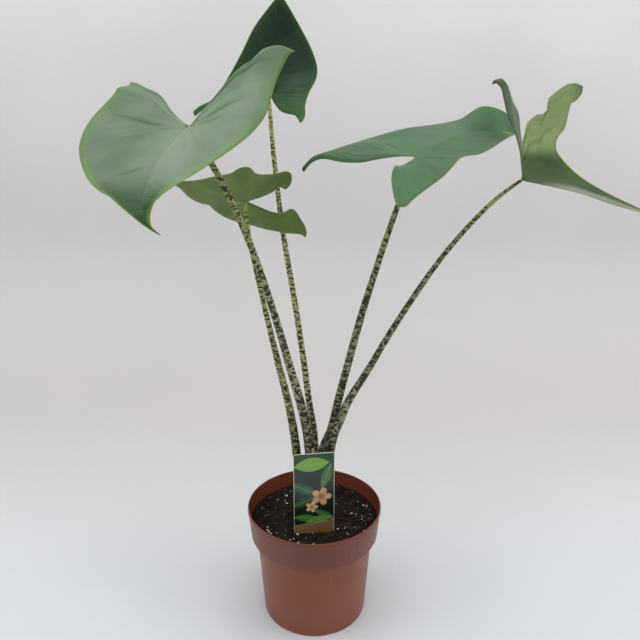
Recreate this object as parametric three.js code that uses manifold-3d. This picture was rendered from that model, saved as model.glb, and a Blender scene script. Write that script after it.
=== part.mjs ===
// A potted alocasia zebrina: five arrow-shaped leaves on long mottled stalks, in a stepped plastic nursery pot.
// Millimetres, +Z up. The origin is the centre of the pot's flat underside, and the front of the plant faces -Y.
import * as THREE from 'three';
import { mergeVertices } from 'three/addons/utils/BufferGeometryUtils.js';
import Module from 'manifold-3d';

const wasm = await Module();
wasm.setup();

// Driving dimensions
const FIT = 0.3;                 // clearance between pieces that touch
const STALK_GAP = 0.5;           // clearance between a stalk and the blade on it

const POT_HEIGHT = 153;
const POT_RADIUS = 85;           // outside, at the lip
const BAND_HEIGHT = 40;          // the stepped-out band under the lip
const BAND_FOOT_RADIUS = 81;
const BODY_TOP_RADIUS = 74;
const BODY_FOOT_RADIUS = 66.5;
const BASE_RADIUS = 62.5;        // where the rounded foot meets the ground
const FOOT_ROUNDING = 5;
const POT_WALL = 1.8;
const POT_SIDES = 64;
const DRAIN = { count: 8, width: 12, height: 3.6, depth: 14, firstAngle: 0.32 };

const SOIL_LEVEL = 133;
const SOIL_SWELL = 1.6;          // height of the hummocks on the soil
const SOIL_SIDES = 48;
const SOIL_RINGS = 8;
const HOLE_TOP = SOIL_LEVEL + 20; // the cutters of the holes in the soil end well above its hummocks

const FOOT_BOTTOM = 108;         // how deep the stalks and the card reach into the soil
const FOOT_TOP = 150;            // up to here they stand straight
const STALK_SIDES = 10;

const BLADE_THICKNESS = 1.2;
const RIB_RISE = 1.3;            // midrib, standing out under the blade
const BLADE_COLUMNS = 28;        // in half a blade
const LOBE_COLUMNS = 13;         // of those, the ones that spread over the rear lobe
const BLADE_RINGS = 7;
const RING_CROWDING = 1.25;      // above 1, the rings lie closer together along the midrib
const VEIN_SWEEP = 0.2;          // how far ahead the first side vein ends, as a share of the midrib

const CARD = { width: 50, thickness: 0.8, top: 244, corner: 2, x: 0, y: -33, turn: 0.14 };

const DRY_SHEATH = {
  foot: [0, -22.5],
  route: [[0, -22.5, 175], [-0.5, -21.5, 208], [-1.3, -20, 243]],
  halfWidths: [4.6, 4.6, 4.6, 4.4, 3.6, 1.2],
  halfDepths: [1.2, 1.2, 1.2, 1.1, 0.9, 0.5],
};

// Leaves. heart is where the lobes and the midrib meet the stalk, and the blade's other points are measured from it.
// Seen from above with the tip ahead, the port half is on the left. In each half, sinus runs out along the edge
// between the two rear lobes, margin starts at the rear lobe's tip and runs round to the leaf's tip, and midrib
// ends at the leaf's tip. A stalk lists x, y, z and radius from its foot up to the heart.
const LEAVES = {
  front_left: {
    heart: [-117, -85, 622],
    midrib: [[-15, -42, -20], [-22, -79, -40], [-24, -102, -58], [-20, -109, -70], [-8, -112, -81]],
    port: {
      sinus: [[20, 27, 25], [46, 53, 55], [61, 68, 66], [68, 75, 73], [83, 86, 77]],
      margin: [[98, 97, 72], [92, 91, 68], [86, 83, 57], [79, 68, 41], [75, 49, 25], [70, 23, 8], [59, 3, -6],
        [48, -14, -15], [17, -53, -35], [-1, -75, -45], [-11, -88, -52], [-16, -96, -58], [-18, -104, -69],
        [-15, -109, -76]],
    },
    starboard: {
      sinus: [[-19, 23, 13], [-36, 52, 28], [-55, 75, 35], [-69, 89, 40]],
      margin: [[-75, 92, 41], [-77, 90, 38], [-86, 80, 35], [-88, 76, 31], [-90, 67, 26], [-105, 35, 3],
        [-104, -5, -18], [-85, -50, -41], [-70, -68, -50], [-57, -80, -54], [-46, -90, -60], [-30, -103, -69],
        [-16, -110, -77]],
    },
    foot: [-4, -12, 6.5],
    stalk: [[-6, -12, 250, 6.3], [-17, -16, 306, 5.3], [-27, -21, 347, 4.8], [-39, -30, 400, 4.2],
      [-55.5, -44, 466, 3.7], [-65, -52, 499, 3.5], [-79, -63, 541, 3.3], [-98, -75, 586, 3.2],
      [-117, -85, 622, 2.6]],
  },
  back: {
    heart: [-57, 130, 655],
    midrib: [[5, -14, 34], [12, -38, 65], [21, -74, 99]],
    port: {
      sinus: [[-22, -4, -8], [-55, -18, -21], [-76, -30, -23]],
      margin: [[-85, -36, -30], [-87, -35, -24], [-71, -30, -15], [-61, -26, -7], [-49, -22, 9], [-30, -22, 39],
        [-12, -34, 68], [6, -56, 86]],
    },
    starboard: {
      sinus: [[9, -10, -16], [16, -17, -24], [24, -27, -27], [35, -41, -29]],
      margin: [[41, -52, -37], [45, -51, -33], [47, -49, -28], [47, -45, -17], [51, -41, -4], [60, -36, 13],
        [61, -34, 25], [55, -34, 44], [42, -42, 68], [28, -62, 90]],
    },
    foot: [-1, 10, 4.8],
    stalk: [[0, 20, 233, 4.4], [-7, 36, 281, 4.0], [-12, 48, 318, 3.9], [-25, 72, 403, 3.7], [-37, 90, 470, 3.4],
      [-44, 102, 521, 3.2], [-51, 116, 584, 3.0], [-55, 128, 635, 2.4], [-57, 130, 655, 2.0]],
  },
  right: {
    heart: [113, 10, 586],
    midrib: [[23, 22, 10], [47, 50, 18], [92, 90, 22], [142, 130, 16]],
    port: {
      sinus: [[-17, 3, 0], [-41, 5, -3], [-60, 8, -7], [-81, 11, -7], [-104, 16, -4], [-116, 19, -9]],
      margin: [[-124, 21, -19], [-126, 22, -16], [-122, 23, -11], [-104, 27, -3], [-78, 47, 7], [-40, 70, 17],
        [-3, 88, 25], [37, 106, 29], [69, 118, 35], [83, 124, 43], [95, 129, 49], [113, 134, 48], [133, 136, 38]],
    },
    starboard: {
      sinus: [[-6, -8, -3], [-19, -26, -7], [-29, -46, -6], [-34, -70, -14], [-34, -101, -29]],
      margin: [[-32, -115, -36], [-25, -112, -37], [-16, -98, -33], [-7, -84, -29], [7, -66, -23], [23, -44, -16],
        [35, -28, -8], [46, -14, 0], [69, 5, 2], [88, 30, 6], [111, 70, 12]],
    },
    foot: [8, 3, 5],
    stalk: [[8.5, 4, 205, 5.1], [12, 6, 230, 5.3], [20.5, 8, 252, 5.2], [30, 8, 296, 5.0], [39, 7, 335, 4.7],
      [53, 6, 394, 4.5], [69, 6, 452, 3.9], [92, 8, 527, 3.2], [104, 9, 561, 2.9], [113, 10, 586, 2.4]],
  },
  low_left: {
    heart: [-81, 60, 529],
    midrib: [[-13, 4, 0], [-28, 10, 4], [-64, 22, 13], [-102, 35, 21]],
    port: {
      sinus: [[12, -6, 4], [24, -12, 9], [33, -17, 14], [37, -20, 19], [43, -24, 20]],
      margin: [[49, -27, 18], [53, -29, 22], [56, -30, 29], [55, -32, 37], [50, -32, 39], [44, -33, 37],
        [29, -36, 36], [16, -35, 37], [10, -34, 43], [3, -33, 44], [-4, -31, 42], [-12, -28, 37], [-36, -14, 31],
        [-54, -2, 26], [-78, 16, 22]],
    },
    starboard: {
      sinus: [[15, 3, -6], [28, 5, -12], [39, 7, -15], [44, 8, -15], [53, 10, -10], [59, 11, -13], [64, 13, -22],
        [70, 15, -32]],
      margin: [[72, 17, -40], [70, 18, -47], [66, 19, -44], [45, 22, -42], [20, 26, -38], [3, 30, -34],
        [-19, 33, -29], [-34, 35, -23], [-45, 36, -15], [-50, 36, -10], [-59, 36, -8], [-67, 37, -5], [-76, 37, 1],
        [-85, 36, 11]],
    },
    foot: [-17, 3, 5.5],
    stalk: [[-24, 12, 237, 5.4], [-33, 18, 290, 4.8], [-44, 26, 334, 4.2], [-54, 32, 378, 3.5], [-65, 42, 425, 3.0],
      [-77, 52, 483, 2.6], [-81, 58, 518, 2.3], [-81, 60, 529, 1.8]],
  },
  far_right: {
    heart: [240, 40, 558],
    midrib: [[36, 7, -8], [76, 15, -18], [117, 24, -32], [181, 38, -50]],
    port: {
      sinus: [[-2, 4, 16], [-4, 10, 32], [-10, 16, 52], [-19, 21, 73], [-23, 26, 88], [-26, 29, 99], [-30, 31, 104],
        [-33, 32, 105]],
      margin: [[-36, 32, 103], [-34, 34, 107], [-27, 38, 108], [-20, 43, 100], [-11, 50, 88], [1, 59, 74],
        [3, 62, 63], [7, 65, 50], [15, 68, 37], [34, 70, 20], [61, 70, 0], [92, 68, -15], [121, 64, -29],
        [148, 55, -40]],
    },
    starboard: {
      sinus: [[-6, -10, 19], [-12, -26, 39], [-13, -36, 53], [-13, -43, 65], [-9, -49, 70], [-5, -53, 74],
        [-2, -56, 73], [1, -59, 77], [-1, -67, 89], [3, -71, 94], [10, -75, 100], [16, -78, 104], [22, -81, 103]],
      margin: [[27, -82, 101], [28, -80, 95], [24, -76, 87], [20, -74, 84], [20, -72, 80], [20, -67, 67],
        [20, -63, 59], [16, -60, 52], [15, -57, 46], [17, -54, 37], [28, -48, 25], [53, -33, 7], [88, -11, -11],
        [127, 12, -28]],
    },
    foot: [12, -10, 6.8],
    stalk: [[20, -8, 248, 7.2], [31, -5, 273, 5.8], [42, 0, 298, 4.7], [64, 6, 333, 4.2], [86, 12, 372, 3.8],
      [124, 18, 434, 3.4], [154, 25, 476, 3.0], [190, 32, 517, 2.7], [215, 37, 540, 2.4], [240, 40, 558, 1.9]],
  },
};

const COLOURS = {
  pot: { color: 0xa0553f, roughness: 0.55, metalness: 0 },
  soil: { color: 0x2a1c16, roughness: 1, metalness: 0 },
  card: { color: 0x2f6b35, roughness: 0.35, metalness: 0 },
  sheath: { color: 0xb49a74, roughness: 0.9, metalness: 0 },
  stalk: { color: 0x7d8150, roughness: 0.5, metalness: 0 },
  blade: { color: 0x4d7d4b, roughness: 0.4, metalness: 0 },
};

const point = ([x, y, z]) => new THREE.Vector3(x, y, z);
const spline = (points) => new THREE.CatmullRomCurve3(points);

// Booleans

function toSolid(geometry) {
  const bare = new THREE.BufferGeometry();
  bare.setAttribute('position', geometry.getAttribute('position').clone());
  if (geometry.index) bare.setIndex(geometry.index.clone());
  const merged = mergeVertices(bare, 1e-4);
  const mesh = new wasm.Mesh({
    numProp: 3,
    vertProperties: new Float32Array(merged.getAttribute('position').array),
    triVerts: new Uint32Array(merged.index.array),
  });
  return new wasm.Manifold(mesh);
}

function toGeometry(solid) {
  const mesh = solid.getMesh();
  const geometry = new THREE.BufferGeometry();
  geometry.setAttribute('position', new THREE.BufferAttribute(new Float32Array(mesh.vertProperties), 3));
  geometry.setIndex(new THREE.BufferAttribute(new Uint32Array(mesh.triVerts), 1));
  return geometry;
}

const largestBody = (solid) => solid.decompose().sort((a, b) => b.volume() - a.volume())[0];

// Tubes: rings of `sides` points round a centre line, closed at both ends.
// halfWidths and halfDepths give each station's two radii, spaced evenly from foot to top.
function taperedTube(stations, halfWidths, halfDepths, sides, steps) {
  const curve = spline(stations);
  const frames = curve.computeFrenetFrames(steps, false);
  const sizeAt = (sizes, t) => {
    const place = t * (sizes.length - 1);
    const low = Math.min(Math.floor(place), sizes.length - 2);
    return THREE.MathUtils.lerp(sizes[low], sizes[low + 1], place - low);
  };
  const positions = [];
  for (let step = 0; step <= steps; step++) {
    const arc = step / steps;
    const t = curve.getUtoTmapping(arc);
    const centre = curve.getPoint(t);
    for (let side = 0; side < sides; side++) {
      const angle = (side / sides) * 2 * Math.PI;
      const rim = centre.clone()
        .addScaledVector(frames.normals[step], Math.cos(angle) * sizeAt(halfDepths, t))
        .addScaledVector(frames.binormals[step], Math.sin(angle) * sizeAt(halfWidths, t));
      positions.push(rim.x, rim.y, rim.z);
    }
  }
  const foot = positions.length / 3;
  const top = foot + 1;
  positions.push(...curve.getPoint(0).toArray(), ...curve.getPoint(1).toArray());
  const faces = [];
  for (let side = 0; side < sides; side++) {
    const next = (side + 1) % sides;
    faces.push(foot, next, side);
    faces.push(top, steps * sides + side, steps * sides + next);
    for (let step = 0; step < steps; step++) {
      const a = step * sides + side;
      const b = step * sides + next;
      faces.push(a, b, b + sides, a, b + sides, a + sides);
    }
  }
  return closedGeometry(positions, faces);
}

// A closed geometry whose faces point out, whichever way round they were listed
function closedGeometry(positions, faces) {
  const corner = (index) => new THREE.Vector3().fromArray(positions, index * 3);
  let volume = 0;
  for (let f = 0; f < faces.length; f += 3) {
    volume += corner(faces[f]).dot(corner(faces[f + 1]).cross(corner(faces[f + 2])));
  }
  const outward = volume > 0 ? faces : faces.map((_, f) => faces[f - (f % 3) + (2 - (f % 3))]);
  const geometry = new THREE.BufferGeometry();
  geometry.setAttribute('position', new THREE.Float32BufferAttribute(positions, 3));
  geometry.setIndex(outward);
  return geometry;
}

// Pot: one moulded wall, with a stepped-out band under the lip and drain notches round the foot

function potGeometry() {
  const bandFoot = POT_HEIGHT - BAND_HEIGHT;
  const slope = (radius, z, otherRadius, otherZ) => (at) => radius + (otherRadius - radius) * ((at - z) / (otherZ - z));
  const bodyAt = slope(BODY_FOOT_RADIUS, FOOT_ROUNDING, BODY_TOP_RADIUS, bandFoot);
  const bandAt = slope(BAND_FOOT_RADIUS, bandFoot, POT_RADIUS, POT_HEIGHT);
  const profile = [[0, 0], [BASE_RADIUS, 0]];
  for (const turn of [0.25, 0.5, 0.75, 1]) {
    const angle = (turn * Math.PI) / 2;
    profile.push([
      BASE_RADIUS + (BODY_FOOT_RADIUS - BASE_RADIUS) * Math.sin(angle),
      FOOT_ROUNDING * (1 - Math.cos(angle)),
    ]);
  }
  profile.push(
    [bodyAt(bandFoot - 2), bandFoot - 2],
    [BODY_TOP_RADIUS + 1.5, bandFoot - 0.4],
    [BAND_FOOT_RADIUS - 1, bandFoot],
    [bandAt(bandFoot + 1), bandFoot + 1],
    [POT_RADIUS - 0.2, POT_HEIGHT - 1.2],
    [POT_RADIUS - 0.5, POT_HEIGHT - 0.3],
    [POT_RADIUS - 1, POT_HEIGHT],
    [POT_RADIUS - POT_WALL, POT_HEIGHT - 0.4],
    [bandAt(bandFoot + POT_WALL) - POT_WALL, bandFoot + POT_WALL],
    [BODY_TOP_RADIUS - POT_WALL, bandFoot + POT_WALL - 1],
    [bodyAt(FOOT_ROUNDING) - POT_WALL, FOOT_ROUNDING],
    [BASE_RADIUS - 1, POT_WALL],
    [0, POT_WALL],
  );
  const lathe = new THREE.LatheGeometry(profile.map(([r, z]) => new THREE.Vector2(r, z)), POT_SIDES);
  let pot = toSolid(lathe.rotateX(Math.PI / 2));
  for (let notch = 0; notch < DRAIN.count; notch++) {
    const angle = DRAIN.firstAngle + (notch / DRAIN.count) * 2 * Math.PI;
    const cutter = new THREE.BoxGeometry(DRAIN.depth, DRAIN.width, DRAIN.height * 2);
    cutter.translate(BODY_FOOT_RADIUS, 0, 0).rotateZ(angle);
    pot = pot.subtract(toSolid(cutter));
  }
  return toGeometry(pot);
}

// Soil: fills the pot to a little above the stepped-out band, with a hummocky top and plain holes for what stands in it

function soilGeometry(holes) {
  const bandFoot = POT_HEIGHT - BAND_HEIGHT;
  const floor = POT_WALL + FIT;
  const inner = (radius) => radius - POT_WALL - FIT;
  const bandSlope = (POT_RADIUS - BAND_FOOT_RADIUS) / BAND_HEIGHT;
  const rimRadius = inner(BAND_FOOT_RADIUS + bandSlope * (SOIL_LEVEL - bandFoot)) - FIT;
  const profile = [
    [0, floor],
    [BASE_RADIUS - 2, floor],
    [inner(BODY_FOOT_RADIUS) - FIT, FOOT_ROUNDING + FIT],
    [inner(BODY_TOP_RADIUS), bandFoot + POT_WALL - 0.6],
    [inner(BAND_FOOT_RADIUS) - 1, bandFoot + POT_WALL + FIT],
    [rimRadius, SOIL_LEVEL - 3],
  ];
  for (let ring = SOIL_RINGS; ring >= 1; ring--) {
    profile.push([(rimRadius * ring) / (SOIL_RINGS + 0.2), SOIL_LEVEL]);
  }
  profile.push([0, SOIL_LEVEL]);
  const lathe = new THREE.LatheGeometry(profile.map(([r, z]) => new THREE.Vector2(r, z)), SOIL_SIDES);
  const ground = lathe.rotateX(Math.PI / 2);
  const position = ground.getAttribute('position');
  for (let i = 0; i < position.count; i++) {
    if (position.getZ(i) < SOIL_LEVEL - 0.01) continue;
    const x = position.getX(i);
    const y = position.getY(i);
    const swell = Math.sin(x * 0.11 + 1) * Math.cos(y * 0.13) + 0.5 * Math.sin(x * 0.27 - y * 0.21);
    position.setZ(i, SOIL_LEVEL + SOIL_SWELL * swell);
  }
  return toGeometry(holes.reduce((soil, hole) => soil.subtract(toSolid(hole)), toSolid(ground)));
}

function roundHole([x, y, radius]) {
  const bottom = FOOT_BOTTOM - FIT;
  const hole = new THREE.CylinderGeometry(radius + FIT, radius + FIT, HOLE_TOP - bottom, 2 * STALK_SIDES);
  return hole.rotateX(Math.PI / 2).translate(x, y, (HOLE_TOP + bottom) / 2);
}

// Card: a thin printed label standing in a slot in the soil

function cardGeometry(clearance = 0) {
  const { width, thickness, top, corner, x, y, turn } = CARD;
  const half = width / 2 + clearance;
  const bottom = FOOT_BOTTOM - clearance;
  const outline = new THREE.Shape();
  outline.moveTo(-half, bottom);
  outline.lineTo(half, bottom);
  outline.lineTo(half, top - corner);
  outline.absarc(half - corner, top - corner, corner, 0, Math.PI / 2);
  outline.absarc(corner - half, top - corner, corner, Math.PI / 2, Math.PI);
  outline.closePath();
  const depth = thickness + 2 * clearance;
  const card = new THREE.ExtrudeGeometry(outline, { depth, bevelEnabled: false, curveSegments: 4 });
  return card.translate(0, 0, -depth / 2).rotateX(Math.PI / 2).rotateZ(turn).translate(x, y, 0);
}

// Dry sheath: a withered, papery point left by an old leaf, standing in front of the stalks

const uprightFoot = (x, y) => [FOOT_BOTTOM, (FOOT_BOTTOM + FOOT_TOP) / 2, FOOT_TOP].map((z) => [x, y, z]);

function sheathStations() {
  const [x, y] = DRY_SHEATH.foot;
  return [...uprightFoot(x, y), ...DRY_SHEATH.route].map(point);
}

const sheathGeometry = () => taperedTube(sheathStations(), DRY_SHEATH.halfWidths, DRY_SHEATH.halfDepths, 8, 12);

function sheathHole() {
  const [x, y] = DRY_SHEATH.foot;
  const bottom = FOOT_BOTTOM - FIT;
  const hole = new THREE.CylinderGeometry(1, 1, HOLE_TOP - bottom, 16);
  const halfWidth = DRY_SHEATH.halfWidths[0] + 2 * FIT;
  const halfDepth = DRY_SHEATH.halfDepths[0] + 2 * FIT;
  return hole.rotateX(Math.PI / 2).scale(halfWidth, halfDepth, 1).translate(x, y, (HOLE_TOP + bottom) / 2);
}

// Blades. Each half is laid out in columns, which leave the midrib and run to the margin as the side veins do.
// The first columns spread over the rear lobe from the heart, and the last one is the leaf's tip.

function bladeHalf(leaf, side) {
  const tip = leaf.midrib.at(-1);
  const midrib = spline([[0, 0, 0], ...leaf.midrib].map(point));
  const margin = spline([...side.margin, tip].map(point));
  const sinus = spline([[0, 0, 0], ...side.sinus, side.margin[0]].map(point));
  const hip = firstPlaceAhead(margin, midrib);
  const columns = [];
  for (let column = 0; column <= BLADE_COLUMNS; column++) {
    const behind = Math.max(0, 1 - column / LOBE_COLUMNS);
    const ahead = Math.max(0, (column - LOBE_COLUMNS) / (BLADE_COLUMNS - LOBE_COLUMNS));
    const from = midrib.getPoint(ahead);
    const to = margin.getPointAt(hip * (1 - behind) + (1 - hip) * ahead);
    const spots = [];
    for (let ring = 0; ring <= BLADE_RINGS; ring++) {
      const u = (ring / BLADE_RINGS) ** RING_CROWDING;
      const sinusBend = sinus.getPointAt(u).addScaledVector(sinus.getPointAt(1), -u);
      spots.push(from.clone().lerp(to, u).addScaledVector(sinusBend, behind));
    }
    columns.push(spots);
  }
  return columns;
}

// The place along the margin, from 0 to 1, where it first draws VEIN_SWEEP ahead of the heart
function firstPlaceAhead(margin, midrib) {
  const samples = midrib.getPoints(50);
  const abreast = (place) => {
    const gaps = samples.map((sample) => sample.distanceTo(place));
    return gaps.indexOf(Math.min(...gaps)) / 50;
  };
  let place = 0;
  while (abreast(margin.getPointAt(place)) < VEIN_SWEEP) place += 0.01;
  return place;
}

// The middle surface of a blade: its places, with the rise of the rib at each, and triangles seen from above
function bladeSheet(leaf) {
  const places = [];
  const rises = [];
  const numbers = new Map();
  const numberOf = (spot, rise) => {
    const key = spot.toArray().map((value) => value.toFixed(3)).join();
    if (!numbers.has(key)) {
      numbers.set(key, places.length);
      places.push(spot);
      rises.push(rise);
    }
    return numbers.get(key);
  };
  const triangles = [];
  const keep = (a, b, c) => {
    if (a !== b && b !== c && c !== a) triangles.push([a, b, c]);
  };
  for (const side of ['port', 'starboard']) {
    const columns = bladeHalf(leaf, leaf[side]).map((spots, column) => spots.map((spot, ring) => {
      const towardsTip = (column - LOBE_COLUMNS) / (BLADE_COLUMNS - LOBE_COLUMNS);
      return numberOf(spot, ring === 0 && towardsTip > 0 ? RIB_RISE * (1 - towardsTip) : 0);
    }));
    for (let column = 0; column < BLADE_COLUMNS; column++) {
      for (let ring = 0; ring < BLADE_RINGS; ring++) {
        const [a, b] = [columns[column][ring], columns[column][ring + 1]];
        const [d, c] = [columns[column + 1][ring], columns[column + 1][ring + 1]];
        if (side === 'port') {  // here the columns run the other way round the heart
          keep(a, c, b);
          keep(a, d, c);
        } else {
          keep(a, b, c);
          keep(a, c, d);
        }
      }
    }
  }
  return { places, rises, triangles };
}

// A blade with its thickness
function bladeGeometry(leaf) {
  const { places, rises, triangles } = bladeSheet(leaf);
  const normals = places.map(() => new THREE.Vector3());
  for (const triangle of triangles) {
    const [a, b, c] = triangle.map((index) => places[index]);
    const normal = b.clone().sub(a).cross(c.clone().sub(a));
    for (const index of triangle) normals[index].add(normal);
  }
  for (const normal of normals) normal.normalize();

  const edges = new Map();
  for (const [a, b, c] of triangles) {
    for (const [from, to] of [[a, b], [b, c], [c, a]]) {
      if (!edges.delete(`${to},${from}`)) edges.set(`${from},${to}`, [from, to]);
    }
  }
  const half = BLADE_THICKNESS / 2;
  const positions = [];
  for (const height of [() => half, (index) => -(half + rises[index])]) {
    places.forEach((place, index) => {
      positions.push(...place.clone().addScaledVector(normals[index], height(index)).add(point(leaf.heart)).toArray());
    });
  }
  const lower = places.length;
  const faces = [];
  for (const [a, b, c] of triangles) faces.push(a, b, c, a + lower, c + lower, b + lower);
  for (const [a, b] of edges.values()) faces.push(a, a + lower, b + lower, a, b + lower, b);
  return closedGeometry(positions, faces);
}

// Stalks: round and tapering from the foot in the soil to the heart, cut off just under the blade they carry

function stalkGeometry(leaf) {
  const [x, y, radius] = leaf.foot;
  const stations = [...uprightFoot(x, y).map((station) => [...station, radius]), ...leaf.stalk];
  const radii = stations.map((station) => station[3]);
  const steps = 2 * stations.length;
  let stalk = toSolid(taperedTube(stations.map(point), radii, radii, STALK_SIDES, steps));
  const blade = toSolid(bladeGeometry(leaf));
  for (const gap of [-STALK_GAP, STALK_GAP]) {
    for (const shift of [[gap, 0, 0], [0, gap, 0], [0, 0, gap]]) stalk = stalk.subtract(blade.translate(shift));
  }
  return toGeometry(largestBody(stalk));
}

const plant = new THREE.Group();

function add(name, geometry, finish) {
  const mesh = new THREE.Mesh(geometry, new THREE.MeshStandardMaterial(COLOURS[finish]));
  mesh.name = name;
  plant.add(mesh);
}

const leaves = Object.entries(LEAVES);
const holes = [...leaves.map(([, leaf]) => roundHole(leaf.foot)), sheathHole(), cardGeometry(FIT)];

add('pot', potGeometry(), 'pot');
add('soil', soilGeometry(holes), 'soil');
add('card', cardGeometry(), 'card');
add('dry_sheath', sheathGeometry(), 'sheath');
for (const [name, leaf] of leaves) {
  add(`stalk_${name}`, stalkGeometry(leaf), 'stalk');
  add(`blade_${name}`, bladeGeometry(leaf), 'blade');
}

export default plant;
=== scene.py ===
import bisect
import math
import random
from collections import namedtuple
from types import SimpleNamespace

import bmesh
import bpy
from mathutils import Matrix, Vector, noise


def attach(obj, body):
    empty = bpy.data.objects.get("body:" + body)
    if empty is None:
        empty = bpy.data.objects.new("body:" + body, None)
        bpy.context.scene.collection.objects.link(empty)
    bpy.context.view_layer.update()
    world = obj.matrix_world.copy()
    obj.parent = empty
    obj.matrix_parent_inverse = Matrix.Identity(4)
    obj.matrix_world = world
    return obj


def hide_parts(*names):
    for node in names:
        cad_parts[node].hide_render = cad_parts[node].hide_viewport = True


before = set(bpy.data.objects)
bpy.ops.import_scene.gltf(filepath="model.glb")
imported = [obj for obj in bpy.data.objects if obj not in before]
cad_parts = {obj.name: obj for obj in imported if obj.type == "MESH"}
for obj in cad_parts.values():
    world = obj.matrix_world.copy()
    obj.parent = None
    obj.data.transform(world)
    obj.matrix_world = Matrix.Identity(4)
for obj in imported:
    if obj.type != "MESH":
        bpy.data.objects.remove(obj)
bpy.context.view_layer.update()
MM = 0.001

# Backdrop: a pale sheet that lies on the floor and rises behind the plant in one sweep.
# It is matt white cloth. Its back is see-through, so that the plant can also be looked at from behind.
# Its profile is in metres, back from the plant and up; the plant's own measures are in millimetres.
SWEEP_PROFILE = [(-2.2, 0.0), (0.55, 0.0), (0.75, 0.02), (0.9, 0.09), (1.0, 0.22), (1.04, 0.4), (1.08, 3.2)]
SWEEP_HALF_WIDTH = 2.6
SWEEP_SMOOTHING = 3
# The cloth is lighter and bluer on the floor than at the foot of the wall, and it is painted lighter high up
# the wall as painted light, where the lamps' light falls off.
FLOOR_CLOTH = (0.655, 0.675, 0.70, 1)
WALL_CLOTH = (0.565, 0.54, 0.532, 1)
HIGH_CLOTH_PAINTED_LIGHT = (0.8, 0.785, 0.77, 1)
WORN_CLOTH = (0.5, 0.495, 0.49, 1)
WALL_BLEND = (-0.1, 0.55)
PAINTED_LIGHT_RISE = 0.85


def feed(made, feeds):
    """Gives each named input a value or another node's output; returns the node's own outputs"""
    for socket, value in dict(feeds).items():
        if isinstance(value, bpy.types.NodeSocket):
            made.id_data.links.new(value, made.inputs[socket])
        else:
            made.inputs[socket].default_value = value
    return made.outputs


def node(tree, kind, feeds=(), **settings):
    """Adds a shader node with its settings, and feeds it"""
    made = tree.nodes.new("ShaderNode" + kind)
    for name, value in settings.items():
        setattr(made, name, value)
    return feed(made, feeds)


def calc(operation, first, second=0.0, clamp=False):
    """One step of arithmetic, in the node tree that the values come from"""
    tree = (first if isinstance(first, bpy.types.NodeSocket) else second).id_data
    return node(tree, "Math", {0: first, 1: second}, operation=operation, use_clamp=clamp)[0]


def times(product, *factors):
    """The product of all the values"""
    for factor in factors:
        product = calc("MULTIPLY", product, factor)
    return product


def plus(total, *others):
    """The sum of all the values"""
    for other in others:
        total = calc("ADD", total, other)
    return total


def minus(value, taken):
    return calc("SUBTRACT", value, taken)


def fade(value, low, high, at_low=0.0, at_high=1.0):
    """A smooth change of level while the value goes from low to high"""
    feeds = {0: value, 1: low, 2: high, 3: at_low, 4: at_high}
    return node(value.id_data, "MapRange", feeds, interpolation_type="SMOOTHSTEP")[0]


def tint(base, tone, mask, most=1.0):
    """The base colour, changed towards the tone where the mask is 1, by the given share at most"""
    amount = mask if most == 1.0 else times(mask, most)
    return node(mask.id_data, "Mix", {0: amount, 6: base, 7: tone}, data_type="RGBA")[2]


def finish(name, **values):
    """A material, its shader, and its node tree; the values are the same all over the surface"""
    material = bpy.data.materials.new(name)
    material.use_nodes = True
    shader = material.node_tree.nodes["Principled BSDF"]
    feed(shader, {socket.replace("_", " "): value for socket, value in values.items()})
    return material, shader, material.node_tree


def relief(shader, height, depth, strength):
    """Feeds a height, in shares of the depth, to the shader as bump"""
    bump = node(shader.id_data, "Bump", {"Height": height, "Distance": depth, "Strength": strength})
    feed(shader, {"Normal": bump["Normal"]})


def new_group(name, vectors, numbers, results):
    """An empty node group with named sockets, what comes into it, and the node that takes its results"""
    group = bpy.data.node_groups.new(name, "ShaderNodeTree")
    sockets = [(label, "INPUT", "NodeSocketVector") for label in vectors]
    sockets += [(label, "INPUT", "NodeSocketFloat") for label in numbers]
    sockets += [(label, "OUTPUT", "NodeSocketFloat") for label in results]
    for label, way, kind in sockets:
        group.interface.new_socket(label, in_out=way, socket_type=kind)
    return group, group.nodes.new("NodeGroupInput").outputs, group.nodes.new("NodeGroupOutput")


def unevenness_group():
    """Slow patches and fine grain, shared by every finish: 0 to 1 each"""
    group, outside, result = new_group(
        "unevenness", ["Vector"], ["Patch Scale", "Grain Scale"], ["Patches", "Grain"])
    patch_feeds = {"Vector": outside["Vector"], "Scale": outside["Patch Scale"], "Detail": 3.0}
    patches = node(group, "TexNoise", patch_feeds)["Fac"]
    grain_feeds = {"Vector": outside["Vector"], "Scale": outside["Grain Scale"], "Detail": 4.0,
                   "Roughness": 0.6}
    grain = node(group, "TexNoise", grain_feeds)["Fac"]
    feed(result, {"Patches": fade(patches, 0.3, 0.7), "Grain": fade(grain, 0.25, 0.75)})
    return group


UNEVENNESS = unevenness_group()


def unevenness(vector, patch_scale, grain_scale):
    """The shared patches and grain, placed in a material at its own scales"""
    feeds = {"Vector": vector, "Patch Scale": patch_scale, "Grain Scale": grain_scale}
    return node(vector.id_data, "Group", feeds, node_tree=UNEVENNESS)


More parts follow.
